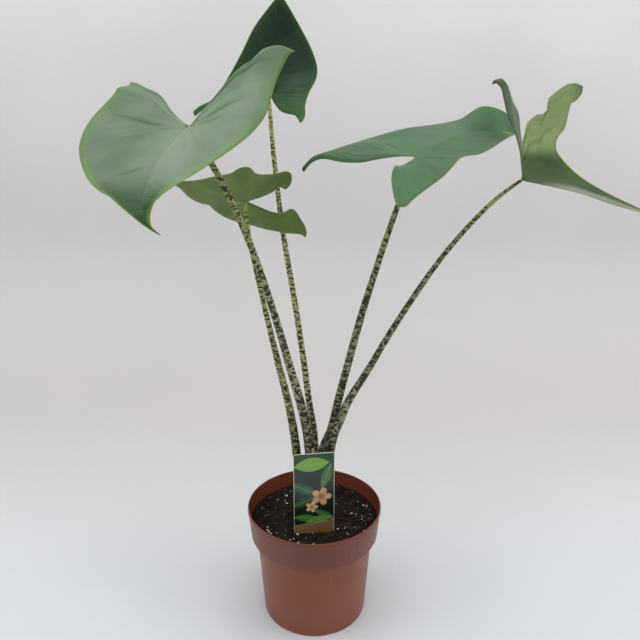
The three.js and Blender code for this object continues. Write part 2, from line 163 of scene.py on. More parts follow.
def backdrop_cloth():
    material, shader, tree = finish("backdrop_cloth", Roughness=0.95, Specular_IOR_Level=0.1)
    place = node(tree, "TexCoord")["Object"]
    patches, grain = unevenness(place, 1.6, 300.0)
    _, depth, height = node(tree, "SeparateXYZ", {0: place})
    cloth = tint(FLOOR_CLOTH, WALL_CLOTH, fade(depth, *WALL_BLEND))
    # painted light: the cloth grows lighter up the wall
    cloth = tint(cloth, HIGH_CLOTH_PAINTED_LIGHT, calc("DIVIDE", height, PAINTED_LIGHT_RISE, clamp=True))
    feed(shader, {"Base Color": tint(cloth, WORN_CLOTH, patches, 0.2)})
    relief(shader, grain, 0.4 * MM, 0.3)
    from_behind = node(tree, "NewGeometry")["Backfacing"]
    see_through = node(tree, "BsdfTransparent")[0]
    cloth_or_none = node(tree, "MixShader", {0: from_behind, 1: shader.outputs[0], 2: see_through})[0]
    feed(tree.nodes["Material Output"], {"Surface": cloth_or_none})
    return material


def drawn_line(shape, places):
    """Adds corners at the places, each joined to the next by an edge"""
    corners = [shape.verts.new(place) for place in places]
    for here, ahead in zip(corners, corners[1:]):
        shape.edges.new((here, ahead))


def placed_object(shape, name, *materials):
    """Makes a finished shape an object at the origin"""
    mesh = bpy.data.meshes.new(name)
    shape.to_mesh(mesh)
    shape.free()
    for material in materials:
        mesh.materials.append(material)
    made = bpy.data.objects.new(name, mesh)
    bpy.context.collection.objects.link(made)
    return made


def sweep_shape():
    sheet = bmesh.new()
    drawn_line(sheet, [(-SWEEP_HALF_WIDTH, depth, height) for depth, height in SWEEP_PROFILE])
    drawn = bmesh.ops.extrude_edge_only(sheet, edges=sheet.edges[:])
    far_side = [part for part in drawn["geom"] if isinstance(part, bmesh.types.BMVert)]
    bmesh.ops.translate(sheet, vec=(2 * SWEEP_HALF_WIDTH, 0, 0), verts=far_side)
    return sheet


backdrop = placed_object(sweep_shape(), "backdrop", backdrop_cloth())
backdrop.data.shade_smooth()
soft_sweep = backdrop.modifiers.new("soft_sweep", "SUBSURF")
soft_sweep.levels = SWEEP_SMOOTHING
soft_sweep.render_levels = SWEEP_SMOOTHING

# Light: square studio lamps overhead and at both sides, in a pale room.
# The room is bright overhead and dimmer at eye level, and evenly pale where the camera looks at it.
LAMPS = {
    # where it stands and what it is aimed at, its width and power, and the tone of its light
    "lamp_overhead": ((0.1, 0.05, 2.1), (0.05, 0.1, 0.2), 1.5, 12.0, (1, 0.985, 0.96)),
    "lamp_left": ((-1.5, -0.3, 1.0), (0, 0, 0.3), 1.1, 6.5, (0.97, 0.985, 1)),
    "lamp_right": ((1.5, -0.2, 0.9), (0, 0, 0.3), 1.1, 6.5, (0.98, 0.99, 1)),
}
ROOM_TONE = (0.95, 0.97, 1, 1)
ROOM_BLEND = (0.05, 0.85)
ROOM_LIGHT = (0.28, 1.1)
ROOM_LOOKED_AT = 0.72

for name, (place, aim, width, power, tone) in LAMPS.items():
    light = bpy.data.lights.new(name, "AREA")
    light.size = width
    light.energy = power
    light.color = tone
    stand = bpy.data.objects.new(name, light)
    stand.location = place
    stand.rotation_euler = (Vector(aim) - Vector(place)).to_track_quat("-Z", "Y").to_euler()
    bpy.context.collection.objects.link(stand)

world = bpy.data.worlds.new("studio")
world.use_nodes = True
bpy.context.scene.world = world
room = world.node_tree
_, _, height_in_room = node(room, "SeparateXYZ", {0: node(room, "TexCoord")["Generated"]})
room_light = fade(height_in_room, *ROOM_BLEND, *ROOM_LIGHT)
looked_at = node(room, "LightPath")["Is Camera Ray"]
strength = node(room, "MapRange", {0: looked_at, 3: room_light, 4: ROOM_LOOKED_AT})[0]
feed(room.nodes["Background"], {"Color": ROOM_TONE, "Strength": strength})
bpy.context.scene.view_settings.view_transform = "Standard"

# Camera: stands a little above the leaves in front of the pot and looks down at the plant.
# Its place and lens give the pot's rims and sides their slant and size in the frame.
CAMERA_PLACE = (7.2, -758.5, 656.1)
CAMERA_DIP = 18.6
FRAME_PIXELS = 640
FOCAL_PIXELS = 686
FILM_WIDTH = 36

camera = bpy.data.cameras.new("camera")
camera.sensor_width = FILM_WIDTH
camera.lens = FILM_WIDTH * FOCAL_PIXELS / FRAME_PIXELS
camera.clip_start = 10 * MM
viewer = bpy.data.objects.new("camera", camera)
viewer.location = [part * MM for part in CAMERA_PLACE]
viewer.rotation_euler = (math.radians(90 - CAMERA_DIP), 0, 0)
bpy.context.collection.objects.link(viewer)
bpy.context.scene.camera = viewer

# Pot: one moulded wall of brown plastic, stepped out in a band under a rolled lip.
# Its foot is rounded and has eight drain notches, and the plastic is satin with faint scuffs; its band is
# painted darker, as painted shade.
POT_PROFILE = [
    (0, 0), (62.5, 0), (64, 0.4), (65.3, 1.5), (66.2, 3.2), (66.5, 5), (73.85, 110.6), (74.3, 112),
    (75.5, 112.7), (79.6, 113), (80.6, 113.3), (81.1, 114.1), (84.3, 147.6), (84.9, 148.4), (84.9, 151.8),
    (84.6, 152.7), (84, 153), (83.3, 152.7), (83.1, 151.8), (79.25, 115.2), (78.6, 114.8), (72.6, 114.2),
    (72.1, 113.4), (64.7, 5), (63.6, 2.6), (61.5, 1.8), (0, 1.8),
]
POT_SIDES = 160
POT_EDGE_ANGLE = 38
NOTCHES = 8
FIRST_NOTCH = 0.32
NOTCH_SIZE = (14, 12, 7.2)
NOTCH_RADIUS = 66.5
POT_BROWN = (127, 67, 45)
POT_RUDDY = (140, 76, 53)
POT_GRAIN = (106, 55, 40)
POT_SCUFF = (176, 132, 114)
POT_BAND_SHADE = (98, 42, 28)
POT_BAND_SHADE_BLEND = (100 * MM, 116 * MM)


def colour(steps):
    """A colour picked in a paint chart's 0 to 255 steps, as the linear values that shaders use"""
    shares = [step / 255 for step in steps]
    return (*[s / 12.92 if s <= 0.04045 else ((s + 0.055) / 1.055) ** 2.4 for s in shares], 1)


def turned(profile, sides):
    """A shape turned on the pot's axis from half of its section, in millimetres"""
    shape = bmesh.new()
    drawn_line(shape, [(radius * MM, 0, height * MM) for radius, height in profile])
    bmesh.ops.spin(shape, geom=shape.verts[:] + shape.edges[:], cent=(0, 0, 0), axis=(0, 0, 1),
                   angle=2 * math.pi, steps=sides, use_merge=True)
    bmesh.ops.remove_doubles(shape, verts=shape.verts[:], dist=0.01 * MM)
    bmesh.ops.recalc_face_normals(shape, faces=shape.faces[:])
    return shape


def plant_piece(shape, name, slot, *materials):
    """Makes a finished shape a smooth piece of the plant, riding on its one body"""
    piece = placed_object(shape, name, *materials)
    piece.data.shade_smooth()
    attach(piece, "root")
    return piece


def cut_notches(piece):
    """Cuts the drain notches out of the foot"""
    cutters = bmesh.new()
    stretch = Matrix.Diagonal([*[side * MM for side in NOTCH_SIZE], 1])
    stand = Matrix.Translation((NOTCH_RADIUS * MM, 0, 0))
    for notch in range(NOTCHES):
        turn = Matrix.Rotation(FIRST_NOTCH + notch / NOTCHES * 2 * math.pi, 4, "Z")
        bmesh.ops.create_cube(cutters, size=1, matrix=turn @ stand @ stretch)
    tool = placed_object(cutters, "notch_cutters")
    cut = piece.modifiers.new("notches", "BOOLEAN")
    cut.object = tool
    cut.solver = "EXACT"
    cut_mesh = bpy.data.meshes.new_from_object(piece.evaluated_get(bpy.context.evaluated_depsgraph_get()))
    piece.modifiers.remove(cut)
    piece.data = cut_mesh
    bpy.data.objects.remove(tool)


def pot_plastic():
    material, shader, tree = finish("pot_plastic", Specular_IOR_Level=0.4)
    place = node(tree, "TexCoord")["Object"]
    patches, grain = unevenness(place, 9.0, 700.0)
    _, _, height = node(tree, "SeparateXYZ", {0: place})
    upright = node(tree, "Mapping", {"Vector": place, "Scale": (60, 60, 3)})[0]
    drawn_marks = node(tree, "TexNoise", {"Vector": upright, "Scale": 3.0, "Detail": 4.0})["Fac"]
    scuffs = fade(drawn_marks, 0.56, 0.72)
    brown = tint(colour(POT_BROWN), colour(POT_RUDDY), patches)
    brown = tint(brown, colour(POT_GRAIN), grain, 0.18)
    brown = tint(brown, colour(POT_SCUFF), scuffs, 0.08)
    # painted shade: the band under the lip is painted darker
    brown = tint(brown, colour(POT_BAND_SHADE), fade(height, *POT_BAND_SHADE_BLEND, 0.0, 0.55))
    satin = plus(times(grain, 0.08), 0.34, times(scuffs, 0.12))
    feed(shader, {"Base Color": brown, "Roughness": satin})
    relief(shader, grain, 0.2 * MM, 0.35)
    return material


pot = plant_piece(turned(POT_PROFILE, POT_SIDES), "moulded_pot", "pot", pot_plastic())
cut_notches(pot)
pot.data.set_sharp_from_angle(angle=math.radians(POT_EDGE_ANGLE))
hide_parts("pot")

# Soil: dark peat that fills the pot to a little above the step, loose and crumbly on top.
# White perlite grains and pale root fibres lie in it, all half sunk.
SOIL_LEVEL = 133
SOIL_EDGE = 80.4
SOIL_SIDES = 150
SOIL_RINGS = 58
SOIL_WALL = [(0, 2.1), (60, 2.1), (64.1, 5.3), (71.9, 114), (77.6, 116), (79.6, 130)]
SWELL_RISE = 1.3
LUMP_RISE = 1.5
SOIL_SWAY = 0.35
LABEL_LINE = -33
LABEL_ROOM = 1.5
# where the stalks and the dry sheath stand, across and back, and the room that each needs
STANDING = [(-4, -12, 8), (-1, 10, 6.5), (14, 8, 6.5), (-17, 3, 7), (12, -10, 8.5), (0, -22.5, 5)]
# how many grains there are, how far they keep from the wall, their smallest and largest size, and how rough
# they are
CRUMBS = (700, 2.5, 1.0, 5.5, 0.9)
PERLITE = (260, 3, 0.5, 3.0, 1.1)
GRAIN_FACETS = 2
GRAIN_LUMPS = 700
GRAIN_LIFT = 0.15
MOSTLY_SMALL = 2.6
# where perlite has gathered, across and back, and how far each such bed reaches
PERLITE_BEDS = [(-58, -28, 13), (-46, -48, 16), (-30, -62, 14), (62, 2, 14), (66, 22, 10), (52, -30, 16),
                (20, -70, 12)]
STRAY_PERLITE = 0.25
FIBRES = 90
FIBRE_LENGTHS = (3, 10)
FIBRE_THICKNESSES = (0.22, 0.45)
FIBRE_BEND = 0.5
FIBRE_LIFT = 0.7
PEAT = ((22, 16, 14), (46, 34, 29))
CRUMB_PEAT = ((28, 20, 18), (74, 56, 47))
FIBRE_TONES = ((84, 62, 46), (132, 106, 80))
PERLITE_WHITE = (236, 232, 224)
PERLITE_DULL = (200, 190, 176)
PERLITE_DIRT = (120, 104, 88)
SOIL_SEED = 11
# the scatter and the noise that sways the soil both take the seed, so that every run makes the same soil
seeded = random.Random(SOIL_SEED)
noise.seed_set(SOIL_SEED)


def soil_height(x, y):
    """The height of the soil's top, in millimetres"""
    swell = math.sin(x * 0.11 + 1) * math.cos(y * 0.13) + 0.5 * math.sin(x * 0.27 - y * 0.21)
    lumps = noise.fractal(Vector((x, y, 3)) * 0.16, 1.0, 2.2, 5)
    return SOIL_LEVEL + SWELL_RISE * swell + LUMP_RISE * lumps


def soil_shape():
    rings = [(SOIL_EDGE * (SOIL_RINGS - ring) / SOIL_RINGS, SOIL_LEVEL) for ring in range(SOIL_RINGS + 1)]
    shape = turned(SOIL_WALL + rings, SOIL_SIDES)
    for corner in shape.verts:
        if corner.co.z > (SOIL_LEVEL - 1) * MM:
            x, y = corner.co.x / MM, corner.co.y / MM
            sway = noise.noise_vector(Vector((x, y, 9)) * 0.5) * SOIL_SWAY
            if math.hypot(x, y) <= SOIL_EDGE - 1:
                corner.co.x += sway.x * MM
                corner.co.y += sway.y * MM
            corner.co.z = soil_height(x, y) * MM
    return shape


def is_near(x, y, places):
    """Whether a spot is within the reach of any of the places"""
    return any(math.hypot(x - at_x, y - at_y) <= reach for at_x, at_y, reach in places)


def open_ground(reach):
    """A spot on the soil that nothing stands on"""
    while True:
        angle = seeded.uniform(0, 2 * math.pi)
        radius = reach * math.sqrt(seeded.random())
        x, y = radius * math.cos(angle), radius * math.sin(angle)
        if abs(y - LABEL_LINE) > LABEL_ROOM and not is_near(x, y, STANDING):
            return x, y


def perlite_ground(reach):
    """A spot on the soil, more often than not in one of the beds where the perlite has gathered"""
    while True:
        x, y = open_ground(reach)
        if seeded.random() < STRAY_PERLITE or is_near(x, y, PERLITE_BEDS):
            return x, y


def scattered_grains(ground, count, from_wall, smallest, largest, roughening):
    """Rough grains strewn on spots of the ground, half sunk, most of them small"""
    shape = bmesh.new()
    spots = [ground(SOIL_EDGE - from_wall) for _ in range(count)]
    for x, y in spots:
        size = smallest + (largest - smallest) * seeded.random() ** MOSTLY_SMALL
        spin = Matrix.Rotation(seeded.uniform(0, 6.28), 4, Vector((seeded.random(), seeded.random(), 0.3)))
        squash = Matrix.Diagonal((1, seeded.uniform(0.65, 1), seeded.uniform(0.5, 0.9), 1))
        sunk = Matrix.Translation(Vector((x, y, soil_height(x, y) + GRAIN_LIFT * size)) * MM)
        grain = bmesh.ops.create_icosphere(shape, subdivisions=GRAIN_FACETS, radius=size * MM / 2,
                                           matrix=sunk @ squash @ spin)
        centre = sunk.translation
        for corner in grain["verts"]:
            lump = noise.noise((corner.co - centre) * GRAIN_LUMPS / size + Vector((x, y, 0)))
            corner.co = centre + (corner.co - centre) * (1 + roughening * lump)
    return shape


def scattered_fibres():
    """Thin, curved root fibres that lie on the soil"""
    shape = bmesh.new()
    for _ in range(FIBRES):
        x, y = open_ground(SOIL_EDGE - FIBRE_LENGTHS[1])
        heading = seeded.uniform(0, 6.28)
        bend = seeded.uniform(-FIBRE_BEND, FIBRE_BEND)
        length = seeded.uniform(*FIBRE_LENGTHS)
        thickness = seeded.uniform(*FIBRE_THICKNESSES)
        strand = bmesh.ops.create_grid(shape, x_segments=4, y_segments=5, size=0.5)["verts"]
        for corner in strand:
            around = (corner.co.x + 0.5) * 2 * math.pi
            along = corner.co.y * length
            spread = thickness / 2 * (1 - (corner.co.y * 1.8) ** 2)
            sideways = bend * along * along / length + spread * math.cos(around)
            at_x = x + along * math.cos(heading) - sideways * math.sin(heading)
            at_y = y + along * math.sin(heading) + sideways * math.cos(heading)
            lift = FIBRE_LIFT + spread * math.sin(around)
            corner.co = Vector((at_x, at_y, soil_height(x, y) + lift)) * MM
    bmesh.ops.remove_doubles(shape, verts=shape.verts[:], dist=0.005 * MM)
    return shape


def peat(name, tones, patch_scale):
    """Crumbly dark matter in two tones"""
    dark, light = map(colour, tones)
    material, shader, tree = finish(name, Roughness=0.95, Specular_IOR_Level=0.2)
    place = node(tree, "TexCoord")["Object"]
    patches, grain = unevenness(place, patch_scale, 1100.0)
    clods = node(tree, "TexVoronoi", {"Vector": place, "Scale": 420.0})["Distance"]
    feed(shader, {"Base Color": tint(tint(dark, light, patches), dark, grain, 0.6)})
    relief(shader, plus(clods, grain), 0.9 * MM, 0.9)
    return material


def perlite_white():
    material, shader, tree = finish("perlite_white", Roughness=0.9, Specular_IOR_Level=0.3)
    patches, grain = unevenness(node(tree, "TexCoord")["Object"], 160.0, 1500.0)
    chalk = tint(colour(PERLITE_WHITE), colour(PERLITE_DULL), patches)
    feed(shader, {"Base Color": tint(chalk, colour(PERLITE_DIRT), grain, 0.25)})
    relief(shader, grain, 0.3 * MM, 0.8)
    return material


soil = plant_piece(soil_shape(), "peat_fill", "soil", peat("peat", PEAT, 90.0))
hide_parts("soil")
crumb_shape = scattered_grains(open_ground, *CRUMBS)
plant_piece(crumb_shape, "peat_crumbs", "soil", peat("peat_crumb", CRUMB_PEAT, 60.0))
plant_piece(scattered_grains(perlite_ground, *PERLITE), "perlite_grains", "soil", perlite_white())
plant_piece(scattered_fibres(), "root_fibres", "soil", peat("root_fibre", FIBRE_TONES, 200.0))

# Label: a thin, glossy plastic card pushed into the soil in front of the stalks.
# It is printed with plain leaves and blossoms on deep green, over a tan band at its foot.
LABEL_WIDTH = 50
LABEL_HEIGHT = 136
LABEL_THICKNESS = 0.8
LABEL_FOOT = 108
LABEL_CORNER = 2
LABEL_RIM = 0.12
LABEL_EDGE_ANGLE = 30
LABEL_TURN = 0.14
PRINT_UNIT = 100
BAND_TOP = 36.5
BAND_SLANT = 0.1
DEEP_GREEN = (16, 38, 24)
HIGH_GREEN = (38, 76, 38)
SHADOW_GREEN = (12, 28, 20)
LEAF_VEIN = (158, 190, 110)
BLOSSOM_HEART = (128, 66, 62)
BAND_TAN = (158, 122, 82)
BAND_DARK = (146, 110, 72)
BAND_LINE = (208, 196, 160)
LABEL_BORDER = (196, 208, 184)
LEAF_MOTIFS = [
    # centre across and up, turn, half length, half width, and colour, in millimetres and radians
    (12, 88, 0.5, 21, 6.5, (36, 78, 52)),
    (40, 104, 1.9, 18, 6, (58, 104, 50)),
    (13, 70, -0.4, 19, 6, (32, 70, 46)),
    (22, 121, -0.1, 22, 9.5, (116, 158, 64)),
    (38, 50, 0.55, 15, 5, (58, 116, 48)),
    (15, 47, 0.12, 16, 5, (72, 132, 52)),
    (31, 44, -0.16, 18, 5, (104, 162, 68)),
]
BLOSSOM_MOTIFS = [
    # centre across and up, reach, and colour
    (34, 76, 13, (206, 160, 118)),
    (22, 62, 8, (222, 186, 130)),
]


def printed_leaf_group():
    """One printed leaf: its body and its veins, on a map that is laid out in millimetres"""
    group, outside, result = new_group(
        "printed_leaf", ["Map", "Centre"], ["Turn", "Half Length", "Half Width"], ["Body", "Veins"])
    feeds = {"Vector": outside["Map"], "Center": outside["Centre"], "Angle": outside["Turn"]}
    turned_map = node(group, "VectorRotate", feeds, rotation_type="Z_AXIS")[0]
    offset = node(group, "VectorMath", {0: turned_map, 1: outside["Centre"]}, operation="SUBTRACT")[0]
    along, across, _ = node(group, "SeparateXYZ", {0: offset})
    share = calc("DIVIDE", along, outside["Half Length"])
    bulge = calc("SUBTRACT", 1.0, times(share, share), clamp=True)
    side = calc("ABSOLUTE", across)
    inside = minus(times(bulge, outside["Half Width"]), side)
    body = fade(inside, 0.0, 0.25)
    stripe = calc("PINGPONG", plus(along, times(side, -1.1)), 1.7)
    side_veins = fade(stripe, 0.0, 0.5, 0.45, 0.0)
    midrib = fade(side, 0.25, 0.6, 1.0, 0.0)
    veins = times(calc("MAXIMUM", side_veins, midrib), body)
    feed(result, {"Body": body, "Veins": veins})
    return group


def printed_blossom_group():
    """One printed five-petalled blossom: its petals and its heart"""
    group, outside, result = new_group("printed_blossom", ["Map", "Centre"], ["Reach"], ["Petals", "Heart"])
    offset = node(group, "VectorMath", {0: outside["Map"], 1: outside["Centre"]}, operation="SUBTRACT")[0]
    along, across, _ = node(group, "SeparateXYZ", {0: offset})
    distance = node(group, "VectorMath", {0: offset}, operation="LENGTH")[1]
    share = calc("DIVIDE", distance, outside["Reach"])
    turn = calc("ARCTAN2", across, along)
    petal = calc("ABSOLUTE", calc("COSINE", times(turn, 2.5)))
    outline = plus(times(calc("POWER", petal, 0.6), 0.62), 0.38)
    petals = fade(minus(outline, share), 0.0, 0.06)
    feed(result, {"Petals": petals, "Heart": fade(share, 0.12, 0.45, 1.0, 0.0)})
    return group


def label_print():
    material, shader, tree = finish("label_print", Specular_IOR_Level=0.5, Coat_Weight=0.35,
                                    Coat_Roughness=0.12)
    layout = node(tree, "UVMap", uv_map="print")[0]
    in_millimetres = node(tree, "VectorMath", {0: layout, 3: PRINT_UNIT}, operation="SCALE")[0]
    across, up, _ = node(tree, "SeparateXYZ", {0: in_millimetres})
    patches, grain = unevenness(node(tree, "TexCoord")["Object"], 70.0, 900.0)
    ink = tint(colour(DEEP_GREEN), colour(HIGH_GREEN), fade(up, 90, LABEL_HEIGHT))
    ink = tint(ink, colour(SHADOW_GREEN), patches, 0.5)
    leaf_print = printed_leaf_group()
    for x, y, turn, half_length, half_width, green in LEAF_MOTIFS:
        feeds = {"Map": in_millimetres, "Centre": (x, y, 0), "Turn": turn, "Half Length": half_length,
                 "Half Width": half_width}
        body, veins = node(tree, "Group", feeds, node_tree=leaf_print)
        ink = tint(ink, colour(green), body)
        ink = tint(ink, colour(LEAF_VEIN), veins, 0.45)
    blossom_print = printed_blossom_group()
    for x, y, reach, petal_tone in BLOSSOM_MOTIFS:
        feeds = {"Map": in_millimetres, "Centre": (x, y, 0), "Reach": reach}
        petals, blossom_heart = node(tree, "Group", feeds, node_tree=blossom_print)
        ink = tint(ink, colour(petal_tone), petals)
        ink = tint(ink, colour(BLOSSOM_HEART), blossom_heart, 0.7)
    level = minus(up, times(across, BAND_SLANT))
    band_tone = tint(colour(BAND_TAN), colour(BAND_DARK), patches)
    ink = tint(ink, band_tone, fade(level, BAND_TOP - 0.4, BAND_TOP, 1.0, 0.0))
    line_foot = fade(level, BAND_TOP, BAND_TOP + 0.2)
    line_top = fade(level, BAND_TOP + 0.6, BAND_TOP + 0.8, 1.0, 0.0)
    ink = tint(ink, colour(BAND_LINE), times(line_foot, line_top))
    from_middle = calc("ABSOLUTE", minus(across, LABEL_WIDTH / 2))
    from_side = minus(LABEL_WIDTH / 2, from_middle)
    from_edge = calc("MINIMUM", from_side, minus(LABEL_HEIGHT, up))
    ink = tint(ink, colour(LABEL_BORDER), fade(from_edge, 0.5, 0.8, 1.0, 0.0))
    feed(shader, {"Base Color": ink, "Roughness": plus(times(grain, 0.1), 0.26)})
    relief(shader, grain, 0.08 * MM, 0.3)
    return material


def label_shape():
    shape = bmesh.new()
    stretch = Matrix.Diagonal((LABEL_WIDTH * MM, LABEL_THICKNESS * MM, LABEL_HEIGHT * MM, 1))
    stand = Matrix.Translation((0, 0, LABEL_HEIGHT / 2 * MM))
    bmesh.ops.create_cube(shape, size=1, matrix=stand @ stretch)
    top_corners = [edge for edge in shape.edges
                   if all(corner.co.z > LABEL_HEIGHT / 2 * MM for corner in edge.verts)
                   and abs(edge.verts[0].co.x - edge.verts[1].co.x) < 0.01 * MM]
    bmesh.ops.bevel(shape, geom=top_corners, offset=LABEL_CORNER * MM, affect="EDGES", segments=6,
                    profile=0.5, material=-1)
    rims = [edge for edge in shape.edges if edge.calc_face_angle(0) > 1.2]
    bmesh.ops.bevel(shape, geom=rims, offset=LABEL_RIM * MM, affect="EDGES", segments=2,
                    profile=0.5, material=-1)
    layout = shape.loops.layers.uv.new("print")
    for face in shape.faces:
        for loop in face.loops:
            across, up = loop.vert.co.x / MM + LABEL_WIDTH / 2, loop.vert.co.z / MM
            loop[layout].uv = (across / PRINT_UNIT, up / PRINT_UNIT)
    turn = Matrix.Rotation(LABEL_TURN, 4, "Z")
    stand = Matrix.Translation((0, LABEL_LINE * MM, LABEL_FOOT * MM))
    bmesh.ops.transform(shape, matrix=stand @ turn, verts=shape.verts[:])
    return shape


label = plant_piece(label_shape(), "label_card", "card", label_print())
label.data.set_sharp_from_angle(angle=math.radians(LABEL_EDGE_ANGLE))
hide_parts("card")

# Dry sheath: the withered, papery point that an old leaf left, standing behind the label.
# It is thin and tan, with ribs along it, and its foot is in the soil.
SHEATH_ROUTE = [(0, -22.5, 108), (0, -22.5, 129), (0, -22.5, 150), (0, -22.5, 175), (-0.5, -21.5, 208),
                (-1.3, -20, 243)]
SHEATH_HALF_WIDTHS = [4.6, 4.6, 4.6, 4.4, 3.6, 1.2]
SHEATH_HALF_DEPTHS = [1.2, 1.2, 1.2, 1.1, 0.9, 0.5]
SHEATH_RIBS = 9
PAPER_TAN = (196, 172, 132)
PAPER_BROWN = (158, 128, 92)
PAPER_GRAIN = (98, 74, 54)


def curve_through(points):
    """A smooth curve through the points: gives the place at a share of the way, each point to point alike"""
    stops = [Vector(point) for point in points]

    def place(share):
        position = min(max(share, 0), 1) * (len(stops) - 1)
        index = min(int(position), len(stops) - 2)
        weight = position - index
        here, ahead = stops[index], stops[index + 1]
        before = stops[index - 1] if index else 2 * here - ahead
        beyond = stops[index + 2] if index + 2 < len(stops) else 2 * ahead - here
        step_in, step, step_out = [max((b - a).length, 1e-9) ** 0.5
                                   for a, b in ((before, here), (here, ahead), (ahead, beyond))]
        slope_here = ((here - before) / step_in - (ahead - before) / (step_in + step)
                      + (ahead - here) / step) * step
        slope_ahead = ((ahead - here) / step - (beyond - here) / (step + step_out)
                       + (beyond - ahead) / step_out) * step
        square, cube = weight * weight, weight ** 3
        return (here * (2 * cube - 3 * square + 1) + slope_here * (cube - 2 * square + weight)
                + ahead * (3 * square - 2 * cube) + slope_ahead * (cube - square))

    return place


def size_along(sizes, share):
    """A size that changes evenly from stop to stop"""
    position = min(max(share, 0), 1) * (len(sizes) - 1)
    index = min(int(position), len(sizes) - 2)
    return sizes[index] + (sizes[index + 1] - sizes[index]) * (position - index)


def eased(place, ease):
    """The same route with its small bends drawn out; its ends stay"""
    weights = [1, 4, 6, 4, 1]

    def eased_place(share):
        reach = ease * min(1.0, share / (2 * ease), (1 - share) / (2 * ease))
        blend = (place(share + (k - 2) * reach) * weight for k, weight in enumerate(weights))
        return sum(blend, Vector()) / sum(weights)

    return eased_place


def drawn_tube(route, sides, steps, section, ease=0.02):
    """A grid wrapped round a route in millimetres; section gives the offsets right and forward at a place.

    Every corner keeps, as an attribute, its place on the tube pulled straight.
    """
    shape = bmesh.new()
    straight = shape.verts.layers.float_vector.new("straight")
    place = eased(curve_through(route), ease)
    lengths = [0.0]
    for step in range(steps):
        lengths.append(lengths[-1] + (place((step + 1) / steps) - place(step / steps)).length)
    wrap = bmesh.ops.create_grid(shape, x_segments=sides, y_segments=steps, size=0.5)["verts"]
    for corner in wrap:
        around = (corner.co.x + 0.5) * 2 * math.pi
        share = corner.co.y + 0.5
        centre = place(share)
        heading = (place(min(share + 0.01, 1)) - place(max(share - 0.01, 0))).normalized()
        right = Vector((0, 1, 0)).cross(heading).normalized()
        forward = heading.cross(right)
        to_right, to_front = section(around, share)
        run = lengths[round(share * steps)]
        corner[straight] = Vector((to_right, to_front, run)) * MM
        corner.co = (centre + right * to_right + forward * to_front) * MM
    bmesh.ops.remove_doubles(shape, verts=shape.verts[:], dist=0.004 * MM)
    bmesh.ops.holes_fill(shape, edges=[edge for edge in shape.edges if edge.is_boundary], sides=0)
    bmesh.ops.recalc_face_normals(shape, faces=shape.faces[:])
    return shape


def sheath_section(around, share):
    ribbing = 1 + 0.08 * math.cos(SHEATH_RIBS * around)
    width = size_along(SHEATH_HALF_WIDTHS, share) * ribbing
    depth = size_along(SHEATH_HALF_DEPTHS, share) * ribbing
    return width * math.cos(around), depth * math.sin(around)


def dry_paper():
    material, shader, tree = finish("dry_paper", Roughness=0.85, Specular_IOR_Level=0.25)
    straight = node(tree, "Attribute", attribute_name="straight")["Vector"]
    stretched = node(tree, "Mapping", {"Vector": straight, "Scale": (1, 1, 0.12)})[0]
    patches, grain = unevenness(stretched, 420.0, 1500.0)
    paper = tint(colour(PAPER_TAN), colour(PAPER_BROWN), patches)
    feed(shader, {"Base Color": tint(paper, colour(PAPER_GRAIN), grain, 0.4)})
    relief(shader, grain, 0.4 * MM, 0.8)
    return material


sheath_shape = drawn_tube(SHEATH_ROUTE, 36, 40, sheath_section)
sheath = plant_piece(sheath_shape, "withered_sheath", "sheath", dry_paper())
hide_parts("dry_sheath")

# Stalks: five fleshy leaf stalks that rise close together from the soil and part as they climb.
# Their skin is pale yellow-green, banded with dark brown, and their feet clasp each other in open sheaths.
STALKS = {
    # the foot's place across and back, and its radius; then stations across, back and up, with the radius
    "front_left": ((-4, -12, 6.5), [(-6, -12, 250, 6.3), (-17, -16, 306, 5.3), (-27, -21, 347, 4.8),
                                    (-39, -30, 400, 4.2), (-55.5, -44, 466, 3.7), (-65, -52, 499, 3.5),
                                    (-79, -63, 541, 3.3), (-98, -75, 586, 3.2), (-117, -85, 622, 2.6)]),
    "back": ((-1, 10, 4.8), [(0.5, 20, 233, 5.0), (-7, 36, 281, 4.0), (-12, 48, 318, 3.9),
                             (-25, 72, 403, 3.7), (-37, 90, 470, 3.4), (-44, 102, 521, 3.2),
                             (-51, 116, 584, 3.0), (-55, 128, 635, 2.4), (-57, 130, 655, 2.0)]),
    "right": ((8, 3, 5), [(8.5, 4, 205, 5.9), (11.6, 6, 230, 6.0), (20.5, 8, 252, 5.2), (30, 8, 296, 5.0),
                          (39, 7, 335, 4.7), (53, 6, 394, 4.5), (69, 6, 452, 3.9), (92, 8, 527, 3.2),
                          (104, 9, 561, 2.9), (113, 10, 586, 2.4)]),
    "low_left": ((-17, 3, 5.5), [(-24, 12, 237, 5.4), (-33, 18, 290, 4.8), (-44, 26, 334, 4.2),
                                 (-54, 32, 378, 3.5), (-65, 42, 425, 3.0), (-77, 52, 483, 2.6),
                                 (-81, 58, 518, 2.3), (-81, 60, 529, 1.8)]),
    "far_right": ((12, -10, 6.8), [(20, -8, 248, 7.2), (31, -5, 273, 5.8), (42, 0, 298, 4.7),
                                   (64, 6, 333, 4.2), (86, 12, 372, 3.8), (124, 18, 434, 3.4),
                                   (154, 25, 476, 3.0), (190, 32, 517, 2.7), (215, 37, 540, 2.4),
                                   (240, 40, 558, 1.9)]),
}
STALK_SIDES = 28
STALK_STEPS = 110
STALK_END = 0.995
STALK_END_SHARE = 0.45
FOOT_HEIGHTS = (108, 129, 150)
CLASP_STATIONS = 4.2
CLASP_HEM = 4.2
CLASP_TOP = 0.3
STRIPE_PITCH = 5.6 * MM
